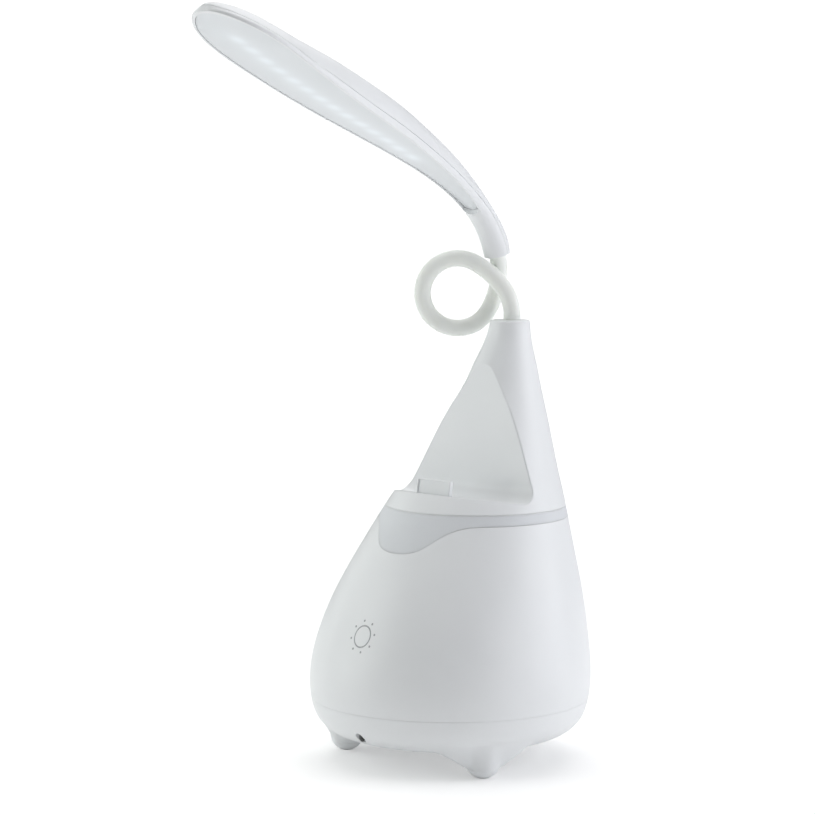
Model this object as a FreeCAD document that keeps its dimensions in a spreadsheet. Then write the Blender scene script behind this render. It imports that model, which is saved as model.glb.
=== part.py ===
import FreeCAD, Part
import Sketcher
import math
import os
import re

# Touch desk lamp with a drop-shaped base, a phone rest, a mood light band and a looped gooseneck.
# Millimetres, +Z up. The lamp's front looks along -Y, and the origin is the middle of the ring of
# feet on the table. Above the belly each level of the base is a circle whose centre steps back.

os.makedirs("parts", exist_ok=True)
doc = FreeCAD.newDocument("lamp")

SIZES = {
    # outer form of the base: height, radius and step back of each ring
    "rim_height": 11.0, "rim_radius": 47.5,
    "heel_height": 12.2, "heel_radius": 52.0,
    "chine_height": 15.0, "chine_radius": 57.3,
    "flare_height": 22.0, "flare_radius": 62.6,
    "join_height": 28.4, "join_radius": 64.3,
    "belly_height": 38.0, "belly_radius": 65.0, "belly_back": 0.3,
    "hip_height": 48.0, "hip_radius": 64.2, "hip_back": 1.0,
    "flank_height": 60.0, "flank_radius": 61.9, "flank_back": 2.6,
    "waist_height": 74.0, "waist_radius": 58.1, "waist_back": 5.5,
    "cone_height": 88.0, "cone_radius": 53.1, "cone_back": 9.2,
    "band_top": 115.2, "deck_radius": 42.1, "deck_back": 17.65,
    "cap_thickness": 11.0, "cap_radius": 11.5, "cap_back": 40.1,
    "top_height": 200.0, "top_radius": 9.3, "top_back": 41.7, "top_round": 1.2,
    # walls and clearances
    "wall": 2.0, "floor": 2.2, "seam_gap": 0.15, "fit_gap": 0.3, "overrun": 1.0,
    "lip_height": 4.0, "lip_wall": 1.6,
    # feet and their rubber pads
    "foot_circle": 49.2, "foot_radius": 7.4, "foot_sole": 0.4, "foot_sole_radius": 3.6,
    "foot_flare_radius": 19.0, "foot_flare_middle_radius": 11.6, "foot_flare_middle_height": 6.9,
    "foot_flare_low_radius": 6.4, "foot_flare_low_height": 3.7, "foot_skirt_radius": 53.0,
    "pad_radius": 2.9, "pad_thickness": 1.4,
    # screws through the feet
    "boss_radius": 4.6, "boss_hole_radius": 1.4, "screw_radius": 1.25, "screw_hole_radius": 1.6,
    "screw_head_radius": 2.3, "screw_head_height": 1.8, "screw_seat_height": 9.0, "screw_length": 27.0,
    "counterbore_radius": 2.6, "boss_top": 50.0, "rib_thickness": 2.0, "driver_radius": 1.0,
    "driver_depth": 1.0,
    # ballast, circuit board and its spacers
    "ballast_radius": 38.0, "ballast_thickness": 6.0, "ballast_hole_radius": 7.0,
    "board_width": 46.0, "board_depth": 34.0, "board_thickness": 1.6, "spacer_radius": 2.75,
    "spacer_height": 8.0, "spacer_inset": 4.0, "board_screw_head_radius": 2.5,
    "board_screw_head_height": 1.6, "chip_side": 9.0, "chip_height": 1.6, "coil_radius": 4.0,
    "coil_height": 5.0, "coil_offset": 12.0,
    # power inlet at the front of the bottom shell
    "inlet_height": 16.9, "inlet_hole_radius": 2.35, "jack_nose_radius": 2.1, "jack_bore_radius": 1.75,
    "jack_pin_radius": 0.5, "jack_width": 8.0, "jack_tall": 7.0, "jack_length": 9.0,
    "jack_front": 49.6, "jack_nose_length": 8.6, "jack_bore_depth": 10.0, "jack_pin_recess": 1.5,
    # touch sensor behind the symbol
    "touch_height": 62.9, "touch_radius": 5.0, "touch_plate": 0.6, "touch_board_side": 18.0,
    "touch_board_thickness": 1.6, "touch_stand_radius": 1.8, "touch_stand_length": 5.0,
    "touch_stand_spread": 14.4, "touch_wall_reach": 55.4,
    # mood light band and its wave
    "band_depth": 4.6, "wave_depth": 12.6, "wave_half_width": 33.0, "wave_shoulder_share": 0.36,
    "wave_shoulder_drop_share": 0.16, "band_gap": 0.1,
    # deck under the upper housing, its posts and the light ring
    "deck_thickness": 2.0, "deck_hole_radius": 6.0, "post_radius": 4.0, "post_circle": 30.0,
    "post_length": 19.0, "lug_thickness": 4.0, "lug_screw_length": 12.0, "ring_board_radius": 24.0,
    "ring_board_hole_radius": 13.0, "mood_led_circle": 21.0, "mood_led_side": 3.5,
    "mood_led_height": 1.5,
    # phone rest: back wall, cove and sloping floor
    "rest_wall_y": 16.0, "rest_wall_height": 130.0, "rest_wall_lean": 8.8, "rest_floor_y": 3.0,
    "rest_floor_height": 120.1, "rest_floor_slope": 9.0, "rest_cove": 8.0, "rest_wall": 2.0,
    "rest_reach": 70.0,
    "stop_width": 20.4, "stop_height": 7.0, "stop_thickness": 2.4, "stop_y": -10.9,
    "stop_round": 0.6, "stop_panel_margin": 0.7, "stop_panel_depth": 0.6,
    # neck
    "neck_back": 43.0, "neck_hole_radius": 4.3, "sleeve_radius": 4.0, "sleeve_bore": 2.8, 
    "core_radius": 2.5, "core_bore": 1.2, "root_depth": 9.0, "root_rise": 2.0, "fitting_radius": 3.9,
    "fitting_flange_radius": 5.8, "fitting_length": 9.0, "fitting_flange": 1.6,
    "nut_across_flats": 10.0, "nut_thickness": 3.5,
    "loop_radius": 16.6, "loop_across": 25.5, "loop_rise": 12.0, "loop_view_turn": 42.0,
    "loop_entry": 150.0, "loop_sweep": 270.0, "loop_drift_share": 0.1, "entry_length": 31.5,
    # head: where the stem starts, its bends and the light panel
    "collar_side": -10.5, "collar_back": 1.3, "collar_rise": 30.3, "collar_pitch": 73.0,
    "stem_radius": 6.2, "stem_drop": 2.2, "stem_bore": 4.3, "stem_bore_depth": 9.0,
    "stem_bend": 34.8, "stem_length": 28.6, "brow_bend": 12.0, "brow_length": 34.8,
    "throat_bend": 3.6, "throat_length": 46.8, "blade_bend": -7.0, "blade_length": 107.6,
    "panel_half_width": 21.7, "head_rim": 1.6, "crown_height": 16.8, "head_split": 2.6,
    "head_wall": 1.6, "panel_thickness": 1.8, "panel_gap": 0.2, "panel_ledge": 1.4,
    "head_split_gap": 0.15,
    "led_strip_half_width": 6.0, "led_first": 76.0, "led_pitch": 8.8, "led_strip_height": 4.6,
    "led_strip_thickness": 1.2, "head_led_side": 2.8, "head_led_height": 0.8,
    "head_rib_thickness": 1.6, "head_screw_radius": 1.0, "head_screw_head_radius": 1.9,
    "head_screw_head_height": 1.0, "head_screw_length": 3.0, "head_boss_radius": 2.4,
}

sheet = doc.addObject("Spreadsheet::Sheet", "sizes")
for row, (alias, value) in enumerate(SIZES.items(), 1):
    sheet.set(f"A{row}", alias)
    sheet.set(f"B{row}", str(value))
    sheet.setAlias(f"B{row}", alias)
doc.recompute()

FEET = [60, 180, 300]
MOOD_LED_COUNT = 8
LED_COUNT = 14
STRIP_SCREW_LAMPS = [1, 6, 11]
LOOP_STEPS = 6
NECK_SAMPLES = 12


def size(alias):
    """One driving dimension, read from the sheet."""
    return float(sheet.get(alias))


def formula(text):
    """Point the words of a formula at the sheet."""
    return re.sub(r"[a-z]+(?:_[a-z]+)*", lambda m: "sizes." + m[0] if m[0] in SIZES else m[0], text)


def bind(item, **places):
    """Bind properties of an object to formulas of the sheet."""
    for prop, text in places.items():
        item.setExpression(prop.replace("__", "."), formula(text))
    return item


def place(item, x="0", y="0", z="0"):
    """Bind where an object stands."""
    for axis, text in zip("xyz", (x, y, z)):
        item.setExpression("Placement.Base." + axis, formula(text))
    return item


def cylinder(name, radius, height, x="0", y="0", z="0"):
    item = doc.addObject("Part::Cylinder", name)
    bind(item, Radius=radius, Height=height)
    return place(item, x, y, z)


def block(name, width, depth, height, x="0", y="0", z="0"):
    """A box centred on x and y that stands on z."""
    item = doc.addObject("Part::Box", name)
    bind(item, Length=width, Width=depth, Height=height)
    return place(item, f"{x} - ({width}) / 2", f"{y} - ({depth}) / 2", z)


def fuse(name, *items):
    item = doc.addObject("Part::MultiFuse", name)
    item.Shapes = list(items)
    return item


def cut(name, base, *tools):
    for number, tool in enumerate(tools, 1):
        item = doc.addObject("Part::Cut", f"{name}_cut_{number}")
        item.Base = base
        item.Tool = tool
        base = item
    return base


def common(name, one, other):
    item = doc.addObject("Part::Common", name)
    item.Base = one
    item.Tool = other
    return item


def group(name, items):
    item = doc.addObject("Part::Compound", name)
    item.Links = list(items)
    return item


def solid(name, shape):
    item = doc.addObject("Part::Feature", name)
    item.Shape = shape
    return item


def spot(angle, circle, middle="0"):
    """Formulas for a place on a circle, its angle counted from the front towards +X."""
    return f"({circle}) * sin({angle} deg)", f"({middle}) - ({circle}) * cos({angle} deg)"


FINISHED = {}


def finish(label, item):
    """Name a sub-part, so that it is written to parts/."""
    item.Label = label
    FINISHED[label] = item
    return item


# The rings of the outer form, each as formulas for height, radius and step back

RINGS = [
    ("rim_height", "rim_radius", "0"),
    ("heel_height", "heel_radius", "0"),
    ("chine_height", "chine_radius", "0"),
    ("flare_height", "flare_radius", "0"),
    ("join_height", "join_radius", "0"),
    ("belly_height", "belly_radius", "belly_back"),
    ("hip_height", "hip_radius", "hip_back"),
    ("flank_height", "flank_radius", "flank_back"),
    ("waist_height", "waist_radius", "waist_back"),
    ("cone_height", "cone_radius", "cone_back"),
    ("band_top", "deck_radius", "deck_back"),
]
CAP = ("(top_height - cap_thickness)", "cap_radius", "cap_back")
TOP = ("top_height", "top_radius", "top_back")

# Rings between two others: height, radius and step back as shares of the way from one to the other

CONE_SHARES = [(0.2, 0.222, 0.236), (0.39, 0.421, 0.448), (0.65, 0.692, 0.735), (0.88, 0.897, 0.92)]
CAP_SHARES = [(0.6, 0.7, 0.69)]


def rings_between(low, high, shares):
    """Formulas for the rings between two rings."""
    def part_way(one, other, share):
        return f"({one} + {share} * ({other} - {one}))"

    return [tuple(map(part_way, low, high, row)) for row in shares]


RINGS += rings_between(RINGS[-1], CAP, CONE_SHARES) + [CAP]
CAP_RING = len(RINGS) - 1
RINGS += rings_between(CAP, TOP, CAP_SHARES) + [TOP]


def ring_loft(name, rings):
    """A closed form through level circles."""
    circles = []
    for number, (height, radius, back) in enumerate(rings):
        circle = doc.addObject("Part::Circle", f"{name}_ring_{number}")
        bind(circle, Radius=radius)
        place(circle, y=back, z=height)
        circles.append(circle)
    loft = doc.addObject("Part::Loft", name)
    loft.Sections = circles
    loft.Solid = True
    loft.Ruled = False
    return loft


def inner_rings(first, last, depth="wall"):
    """The rings moved in by a depth, measured square to the slope."""
    rings = []
    for low, here, high in zip(RINGS[first - 1:], RINGS[first:last], RINGS[first + 1:]):
        slope = f"(({high[1]}) - ({low[1]})) / (({high[0]}) - ({low[0]}))"
        radius = f"({here[1]}) - ({depth}) * sqrt(1 + ({slope}) ^ 2)"
        rings.append((here[0], radius, here[2]))
    return rings


outer_form = ring_loft("outer_form", RINGS)
hollow_floor = ("rim_height + floor", "heel_radius - wall", "0")
inner_form = ring_loft("inner_form", [hollow_floor] + inner_rings(2, CAP_RING + 1))
middle_form = ring_loft("middle_form", inner_rings(3, CAP_RING, "wall / 2"))
reach = "foot_circle + belly_radius"


def slab(name, low, high):
    """Everything between two heights."""
    return cylinder(name, reach, f"({high}) - ({low})", z=low)


# Bottom shell: a bowl with three feet, screw bosses, a lip for the main shell and the power inlet

def foot_form():
    """One foot at the back of the ring: a ball-ended post in a wide flare, turned about its axis."""
    sole = size("foot_sole")
    ball = size("foot_radius")
    seat = size("rim_height") + size("floor") / 2
    flat = size("foot_sole_radius")
    axis = FreeCAD.Vector(0, size("foot_circle"), 0)

    def at(radius, height):
        return axis + FreeCAD.Vector(0, radius, height)

    side = math.sqrt(0.5)
    post = Part.Wire([
        Part.LineSegment(at(0, sole), at(flat, sole)).toShape(),
        Part.Arc(
            at(flat, sole),
            at(flat + (ball - flat) * side, sole + (ball - sole) * (1 - side)),
            at(ball, ball),
        ).toShape(),
        Part.LineSegment(at(ball, ball), at(ball, size("chine_height"))).toShape(),
        Part.LineSegment(at(ball, size("chine_height")), at(0, size("chine_height"))).toShape(),
        Part.LineSegment(at(0, size("chine_height")), at(0, sole)).toShape(),
    ])
    low = at(size("foot_flare_low_radius"), size("foot_flare_low_height"))
    middle = at(size("foot_flare_middle_radius"), size("foot_flare_middle_height"))
    high = at(size("foot_flare_radius"), size("rim_height"))
    flare = Part.Wire([
        Part.Arc(low, middle, high).toShape(),
        Part.LineSegment(high, at(size("foot_flare_radius"), seat)).toShape(),
        Part.LineSegment(at(size("foot_flare_radius"), seat), at(0, seat)).toShape(),
        Part.LineSegment(at(0, seat), at(0, size("foot_flare_low_height"))).toShape(),
        Part.LineSegment(at(0, size("foot_flare_low_height")), low).toShape(),
    ])
    up = FreeCAD.Vector(0, 0, 1)
    turned = [Part.Face(wire).revolve(axis, up, 360) for wire in (post, flare)]
    skirt = Part.makeCylinder(size("foot_skirt_radius"), size("chine_height"))
    return turned[0].fuse(turned[1].common(skirt))


def make_bottom_shell():
    shell = cut("bowl", common("bowl_form", outer_form, slab("bowl_slab", "0", "join_height - seam_gap / 2")),
                inner_form)
    foot = foot_form()
    parts = [shell]
    for number, angle in enumerate(FEET):
        turn = FreeCAD.Rotation(FreeCAD.Vector(0, 0, 1), angle - FEET[1])
        copy = solid(f"foot_{number}", foot.copy())
        copy.Placement = FreeCAD.Placement(FreeCAD.Vector(), turn)
        parts.append(copy)
        x, y = spot(angle, "foot_circle")
        height = "join_height - seam_gap / 2 - rim_height"
        parts.append(cylinder(f"standoff_{number}", "boss_radius", height, x, y, "rim_height"))
    lip_outside = "join_radius - wall - fit_gap"
    lip = cut("lip",
              cylinder("lip_ring", lip_outside, "lip_height", z="join_height - lip_height / 2"),
              cylinder("lip_hole", f"{lip_outside} - lip_wall", "lip_height + 2 * overrun",
                       z="join_height - lip_height / 2 - overrun"))
    parts.append(lip)
    body = fuse("bottom_shell_form", *parts)
    tools = []
    for number, angle in enumerate(FEET):
        x, y = spot(angle, "foot_circle")
        tools.append(cylinder(f"pad_seat_{number}", "pad_radius + fit_gap", "pad_thickness + overrun",
                              x, y, "0 - overrun"))
        tools.append(cylinder(f"head_well_{number}", "counterbore_radius", "screw_seat_height", x, y, "0"))
        tools.append(cylinder(f"screw_way_{number}", "screw_hole_radius", "join_height", x, y, "0"))
    inlet = cylinder("inlet_hole", "inlet_hole_radius", "join_radius - jack_front", y="0 - jack_front",
                     z="inlet_height")
    inlet.Placement.Rotation = FreeCAD.Rotation(FreeCAD.Vector(1, 0, 0), 90)
    tools.append(inlet)
    finish("bottom_shell", cut("bottom_shell_solid", body, *tools))


def make_foot_pads():
    pads = []
    for number, angle in enumerate(FEET):
        x, y = spot(angle, "foot_circle")
        pads.append(cylinder(f"pad_{number}", "pad_radius", "pad_thickness", x, y))
    finish("foot_pads", group("pad_set", pads))


def screw(name, x, y, z, head_radius, head_height, shank_radius, shank_length):
    """A screw that points up from its seat at z, with a round driver recess below."""
    head = cylinder(name + "_head", head_radius, head_height, x, y, f"{z} - {head_height}")
    shank = cylinder(name + "_shank", shank_radius, f"{shank_length} + driver_depth", x, y,
                     f"{z} - driver_depth / 4")
    recess = cylinder(name + "_recess", "driver_radius", "driver_depth / 2 + overrun", x, y,
                      f"{z} - {head_height} - overrun")
    return cut(name, fuse(name + "_blank", head, shank), recess)


def make_base_screws():
    screws = []
    for number, angle in enumerate(FEET):
        x, y = spot(angle, "foot_circle")
        screws.append(screw(f"base_screw_{number}", x, y, "screw_seat_height", "screw_head_radius",
                            "screw_head_height", "screw_radius", "screw_length"))
    finish("base_screws", group("base_screw_set", screws))


# Ballast, circuit board and power inlet, all carried by the bottom shell

FLOOR = "(rim_height + floor)"
BALLAST_TOP = f"({FLOOR} + ballast_thickness)"
BOARD_FOOT = f"({BALLAST_TOP} + spacer_height)"
BOARD_CORNERS = [(1, 1), (1, -1), (-1, 1), (-1, -1)]


def corner(side_x, side_y):
    return (f"{side_x} * (board_width / 2 - spacer_inset)", f"{side_y} * (board_depth / 2 - spacer_inset)")


def part_body(name):
    body = doc.addObject("PartDesign::Body", name)
    return body


def level_sketch(body, name, height="0", role="XY_Plane"):
    """A sketch on one of the body's own planes, the level one by default, lifted to a height."""
    plane = next(item for item in body.Origin.OriginFeatures if item.Role == role)
    sketch = body.newObject("Sketcher::SketchObject", name)
    sketch.AttachmentSupport = (plane, [""])
    sketch.MapMode = "FlatFace"
    sketch.setExpression("AttachmentOffset.Base.z", formula(height))
    return sketch


def draw_circle(sketch, radius, x="0", y="0"):
    """A circle whose radius and place are bound to the sheet."""
    shape = Part.Circle(FreeCAD.Vector(), FreeCAD.Vector(0, 0, 1), 1)
    circle = sketch.addGeometry(shape)
    rules = [("Radius", circle, None, radius)]
    for kind, text in (("DistanceX", x), ("DistanceY", y)):
        if text != "0":
            rules.append((kind, circle, 3, text))
    if x == "0" and y == "0":
        sketch.addConstraint(Sketcher.Constraint("Coincident", circle, 3, -1, 1))
    for kind, geometry, point, text in rules:
        if point is None:
            index = sketch.addConstraint(Sketcher.Constraint(kind, geometry, 1))
        else:
            index = sketch.addConstraint(Sketcher.Constraint(kind, -1, 1, geometry, point, 1))
        sketch.setExpression(f"Constraints[{index}]", formula(text))
    if x == "0" and y != "0":
        sketch.addConstraint(Sketcher.Constraint("PointOnObject", circle, 3, -2))
    if y == "0" and x != "0":
        sketch.addConstraint(Sketcher.Constraint("PointOnObject", circle, 3, -1))
    return circle


def draw_box(sketch, width, depth):
    """A rectangle about the sketch's origin, its sides bound to the sheet."""
    corners = [FreeCAD.Vector(x, y, 0) for x, y in ((-1, -1), (1, -1), (1, 1), (-1, 1))]
    sides = [sketch.addGeometry(Part.LineSegment(corners[k], corners[(k + 1) % 4])) for k in range(4)]
    for k in range(4):
        sketch.addConstraint(Sketcher.Constraint("Coincident", sides[k], 2, sides[(k + 1) % 4], 1))
    for k in (0, 2):
        sketch.addConstraint(Sketcher.Constraint("Horizontal", sides[k]))
        sketch.addConstraint(Sketcher.Constraint("Vertical", sides[k + 1]))
    sketch.addConstraint(Sketcher.Constraint("Symmetric", sides[0], 1, sides[2], 1, -1, 1))
    across = sketch.addConstraint(Sketcher.Constraint("DistanceX", sides[0], 1, sides[0], 2, 1))
    along = sketch.addConstraint(Sketcher.Constraint("DistanceY", sides[1], 1, sides[1], 2, 1))
    sketch.setExpression(f"Constraints[{across}]", formula(width))
    sketch.setExpression(f"Constraints[{along}]", formula(depth))


def draw_hexagon(sketch, across_flats):
    """A regular hexagon about the sketch's origin, its width bound to the sheet."""
    turns = [math.radians(60 * k) for k in range(6)]
    corners = [FreeCAD.Vector(math.cos(turn), math.sin(turn), 0) for turn in turns]
    sides = [sketch.addGeometry(Part.LineSegment(corners[k], corners[(k + 1) % 6])) for k in range(6)]
    ring = sketch.addGeometry(Part.Circle(FreeCAD.Vector(), FreeCAD.Vector(0, 0, 1), 1))
    sketch.toggleConstruction(ring)
    sketch.addConstraint(Sketcher.Constraint("Coincident", ring, 3, -1, 1))
    for k in range(6):
        sketch.addConstraint(Sketcher.Constraint("Coincident", sides[k], 2, sides[(k + 1) % 6], 1))
        sketch.addConstraint(Sketcher.Constraint("PointOnObject", sides[k], 1, ring))
        if k:
            sketch.addConstraint(Sketcher.Constraint("Equal", sides[0], sides[k]))
    sketch.addConstraint(Sketcher.Constraint("PointOnObject", sides[0], 1, -1))
    index = sketch.addConstraint(Sketcher.Constraint("Radius", ring, 1))
    sketch.setExpression(f"Constraints[{index}]", formula(f"{across_flats} / (2 * cos(30 deg))"))


def pad(body, sketch, name, length):
    feature = body.newObject("PartDesign::Pad", name)
    feature.Profile = sketch
    feature.setExpression("Length", formula(length))
    return feature


def pocket(body, sketch, name, depth):
    """A pocket that cuts down from its sketch."""
    feature = body.newObject("PartDesign::Pocket", name)
    feature.Profile = sketch
    feature.setExpression("Length", formula(depth))
    return feature


def make_ballast():
    body = part_body("ballast_body")
    disc = level_sketch(body, "ballast_outline", FLOOR)
    draw_circle(disc, "ballast_radius")
    pad(body, disc, "ballast_pad", "ballast_thickness")
    hole = level_sketch(body, "ballast_hole", BALLAST_TOP)
    draw_circle(hole, "ballast_hole_radius")
    pocket(body, hole, "ballast_bore", "ballast_thickness + overrun")
    finish("ballast_plate", body)


def make_main_board():
    body = part_body("main_board_body")
    outline = level_sketch(body, "main_board_outline", BOARD_FOOT)
    draw_box(outline, "board_width", "board_depth")
    pad(body, outline, "main_board_pad", "board_thickness")
    holes = level_sketch(body, "main_board_holes", f"{BOARD_FOOT} + board_thickness")
    for side_x, side_y in BOARD_CORNERS:
        draw_circle(holes, "screw_radius + fit_gap", *corner(side_x, side_y))
    pocket(body, holes, "main_board_bores", "board_thickness + overrun")
    finish("main_board", body)
    top = f"{BOARD_FOOT} + board_thickness"
    chip = block("driver_chip", "chip_side", "chip_side", "chip_height", z=top)
    coil = cylinder("power_coil", "coil_radius", "coil_height", x="coil_offset", z=top)
    finish("board_components", group("component_set", [chip, coil]))


def make_spacers():
    spacers = []
    screws = []
    for number, (side_x, side_y) in enumerate(BOARD_CORNERS):
        x, y = corner(side_x, side_y)
        post = cylinder(f"spacer_{number}", "spacer_radius", "spacer_height", x, y, BALLAST_TOP)
        bore = cylinder(f"spacer_bore_{number}", "screw_radius + fit_gap", "spacer_height / 2 + overrun",
                        x, y, f"{BALLAST_TOP} + spacer_height / 2")
        spacers.append(cut(f"spacer_{number}_solid", post, bore))
        top = f"{BOARD_FOOT} + board_thickness"
        head = cylinder(f"board_screw_head_{number}", "board_screw_head_radius",
                        "board_screw_head_height", x, y, top)
        shank = cylinder(f"board_screw_shank_{number}", "screw_radius",
                         "spacer_height / 4 + board_thickness + overrun", x, y,
                         f"{top} - spacer_height / 4 - board_thickness")
        screws.append(fuse(f"board_screw_{number}", head, shank))
    finish("board_spacers", group("spacer_set", spacers))
    finish("board_screws", group("board_screw_set", screws))


def make_power_jack():
    """The socket behind the inlet hole: a square body, a round nose, a bore and a centre pin."""
    def lying(name, radius, length, face):
        item = cylinder(name, radius, length, y=f"0 - ({face})", z="inlet_height")
        item.Placement.Rotation = FreeCAD.Rotation(FreeCAD.Vector(1, 0, 0), -90)
        return item

    tip = "jack_front + jack_nose_length"
    body = block("jack_block", "jack_width", "jack_length", "jack_tall", y="0 - jack_front + jack_length / 2",
                 z="inlet_height - jack_tall / 2")
    nose = lying("jack_nose", "jack_nose_radius", "jack_nose_length + overrun", tip)
    bore = lying("jack_bore", "jack_bore_radius", "jack_bore_depth + overrun", f"{tip} + overrun")
    pin = lying("jack_pin", "jack_pin_radius", "jack_bore_depth", f"{tip} - jack_pin_recess")
    socket = cut("jack_socket", fuse("jack_blank", body, nose), bore)
    finish("power_jack", fuse("power_jack_solid", socket, pin))


# Main shell, light band and upper housing, cut from one outer form

def wave_region():
    """The room of the light band: an even ring, and a soft wave at the front that hangs lower."""
    top = size("band_top")
    edge = top - size("band_depth")
    half = size("wave_half_width")
    low = edge - size("wave_depth")
    reach_y = size("belly_radius")
    shoulder = half * size("wave_shoulder_share")
    shoulder_low = low + size("wave_depth") * size("wave_shoulder_drop_share")

    def at(x, z):
        return FreeCAD.Vector(x, -reach_y, z)

    right = [at(0, low), at(shoulder, shoulder_low), at(half, edge)]
    left = [FreeCAD.Vector(-point.x, point.y, point.z) for point in reversed(right)]
    wave = Part.BSplineCurve()
    level = FreeCAD.Vector(1, 0, 0)
    wave.interpolate(left[:-1] + right, InitialTangent=level, FinalTangent=level)
    outline = Part.Wire([
        wave.toShape(),
        Part.LineSegment(right[-1], at(half, top)).toShape(),
        Part.LineSegment(at(half, top), at(-half, top)).toShape(),
        Part.LineSegment(at(-half, top), left[0]).toShape(),
    ])
    front = Part.Face(outline).extrude(FreeCAD.Vector(0, reach_y + size("cone_back"), 0))
    ring = Part.makeCylinder(reach_y * 2, top - edge, FreeCAD.Vector(0, 0, edge))
    return ring.fuse(front).removeSplitter()


def shell_between(name, low, high):
    """The hollow wall of the outer form between two heights."""
    return cut(name, common(name + "_form", outer_form, slab(name + "_slab", low, high)), inner_form)


def deck_post_spot(angle):
    return spot(angle, "post_circle", "deck_back")


def make_main_shell(band_room):
    lower = "join_height + seam_gap / 2"
    wall = shell_between("main_wall", lower, "band_top")
    trimmed = cut("main_trim", wall, band_room)
    parts = [trimmed]
    for number, angle in enumerate(FEET):
        x, y = spot(angle, "foot_circle")
        parts.append(cylinder(f"boss_{number}", "boss_radius", f"boss_top - ({lower})", x, y, lower))
        rib = doc.addObject("Part::Box", f"boss_rib_{number}")
        bind(rib, Length="rib_thickness", Width="belly_radius - foot_circle",
             Height="boss_top - belly_height")
        turn = math.radians(angle)
        rib.Placement.Rotation = FreeCAD.Rotation(FreeCAD.Vector(0, 0, 1), 180 + angle)
        place(rib, f"({x}) + rib_thickness / 2 * {math.cos(turn):.9f}",
              f"({y}) + rib_thickness / 2 * {math.sin(turn):.9f}", "belly_height")
        parts.append(common(f"boss_rib_{number}_fit", rib, middle_form))
        x, y = deck_post_spot(angle)
        foot = "band_top - post_length - lug_thickness"
        lug = cylinder(f"lug_{number}", "post_radius", "lug_thickness", x, y, foot)
        arm = doc.addObject("Part::Box", f"lug_arm_{number}")
        bind(arm, Length="post_radius", Width="cone_radius - post_circle", Height="lug_thickness")
        arm.Placement.Rotation = FreeCAD.Rotation(FreeCAD.Vector(0, 0, 1), 180 + angle)
        place(arm, f"({x}) + post_radius / 2 * {math.cos(turn):.9f}",
              f"({y}) + post_radius / 2 * {math.sin(turn):.9f}", foot)
        parts.append(lug)
        parts.append(common(f"lug_arm_{number}_fit", arm, middle_form))
    for side in (-1, 1):
        stand = cylinder(f"touch_stand_{side + 1}", "touch_stand_radius", "touch_stand_length + wall",
                         x=f"{side} * touch_stand_spread / 2", y="0 - touch_wall_reach + touch_stand_length",
                         z="touch_height")
        stand.Placement.Rotation = FreeCAD.Rotation(FreeCAD.Vector(1, 0, 0), 90)
        parts.append(common(f"touch_stand_{side + 1}_fit", stand, middle_form))
    body = fuse("main_shell_form", *parts)
    tools = []
    for number, angle in enumerate(FEET):
        x, y = spot(angle, "foot_circle")
        tools.append(cylinder(f"boss_bore_{number}", "boss_hole_radius",
                              "screw_seat_height + screw_length + overrun", x, y, "0"))
        x, y = deck_post_spot(angle)
        tools.append(cylinder(f"lug_bore_{number}", "screw_hole_radius", "lug_thickness + 2 * overrun", x, y,
                              "band_top - post_length - lug_thickness - overrun"))
    finish("main_shell", cut("main_shell_solid", body, *tools))


def make_light_band(band_room):
    wall = shell_between("band_wall_form", "join_height", "band_top - band_gap")
    gap = doc.addObject("Part::Feature", "band_room_low")
    gap.Shape = band_room.Shape
    gap.Placement.Base = FreeCAD.Vector(0, 0, size("band_gap"))
    finish("light_band", common("light_band_solid", wall, gap))


def rest_profile(offset):
    """The outline of the phone rest seen from the side: sloping floor, cove and leaning wall."""
    lean = math.radians(size("rest_wall_lean"))
    slope = math.radians(size("rest_floor_slope"))
    up = FreeCAD.Vector(0, math.sin(lean), math.cos(lean))
    front = FreeCAD.Vector(0, -math.cos(slope), math.sin(slope))
    wall_point = FreeCAD.Vector(0, size("rest_wall_y") + offset / math.cos(lean), size("rest_wall_height"))
    floor_point = FreeCAD.Vector(0, size("rest_floor_y"),
                                 size("rest_floor_height") - offset / math.cos(slope))
    gap = wall_point - floor_point
    along = (gap.y * up.z - gap.z * up.y) / (front.y * up.z - front.z * up.y)
    corner_point = floor_point + front * along
    opening = math.acos(up.dot(front))
    cove = size("rest_cove") + offset
    run = cove / math.tan(opening / 2)
    on_wall = corner_point + up * run
    on_floor = corner_point + front * run
    bisector = (up + front)
    bisector.normalize()
    centre = corner_point + bisector * (cove / math.sin(opening / 2))
    middle = centre - bisector * cove
    reach_out = size("rest_reach")
    wall_end = corner_point + up * reach_out
    floor_end = corner_point + front * reach_out
    far = FreeCAD.Vector(0, floor_end.y, wall_end.z)
    return Part.Wire([
        Part.LineSegment(floor_end, on_floor).toShape(),
        Part.Arc(on_floor, middle, on_wall).toShape(),
        Part.LineSegment(on_wall, wall_end).toShape(),
        Part.LineSegment(wall_end, far).toShape(),
        Part.LineSegment(far, floor_end).toShape(),
    ])


def rest_form(offset):
    """The room of the phone rest, right across the housing, moved back by an offset."""
    half = size("belly_radius")
    face = Part.Face(rest_profile(offset))
    face.translate(FreeCAD.Vector(-half, 0, 0))
    return face.extrude(FreeCAD.Vector(2 * half, 0, 0))


def rounded_form():
    """The outer form with the rim of its top rounded."""
    doc.recompute()
    top = size("top_height") - size("top_round")
    numbers = [number for number, edge in enumerate(outer_form.Shape.Edges, 1) if edge.BoundBox.ZMin > top]
    item = doc.addObject("Part::Fillet", "rounded_form")
    item.Base = outer_form
    item.Edges = [(number, size("top_round"), size("top_round")) for number in numbers]
    return item


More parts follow.
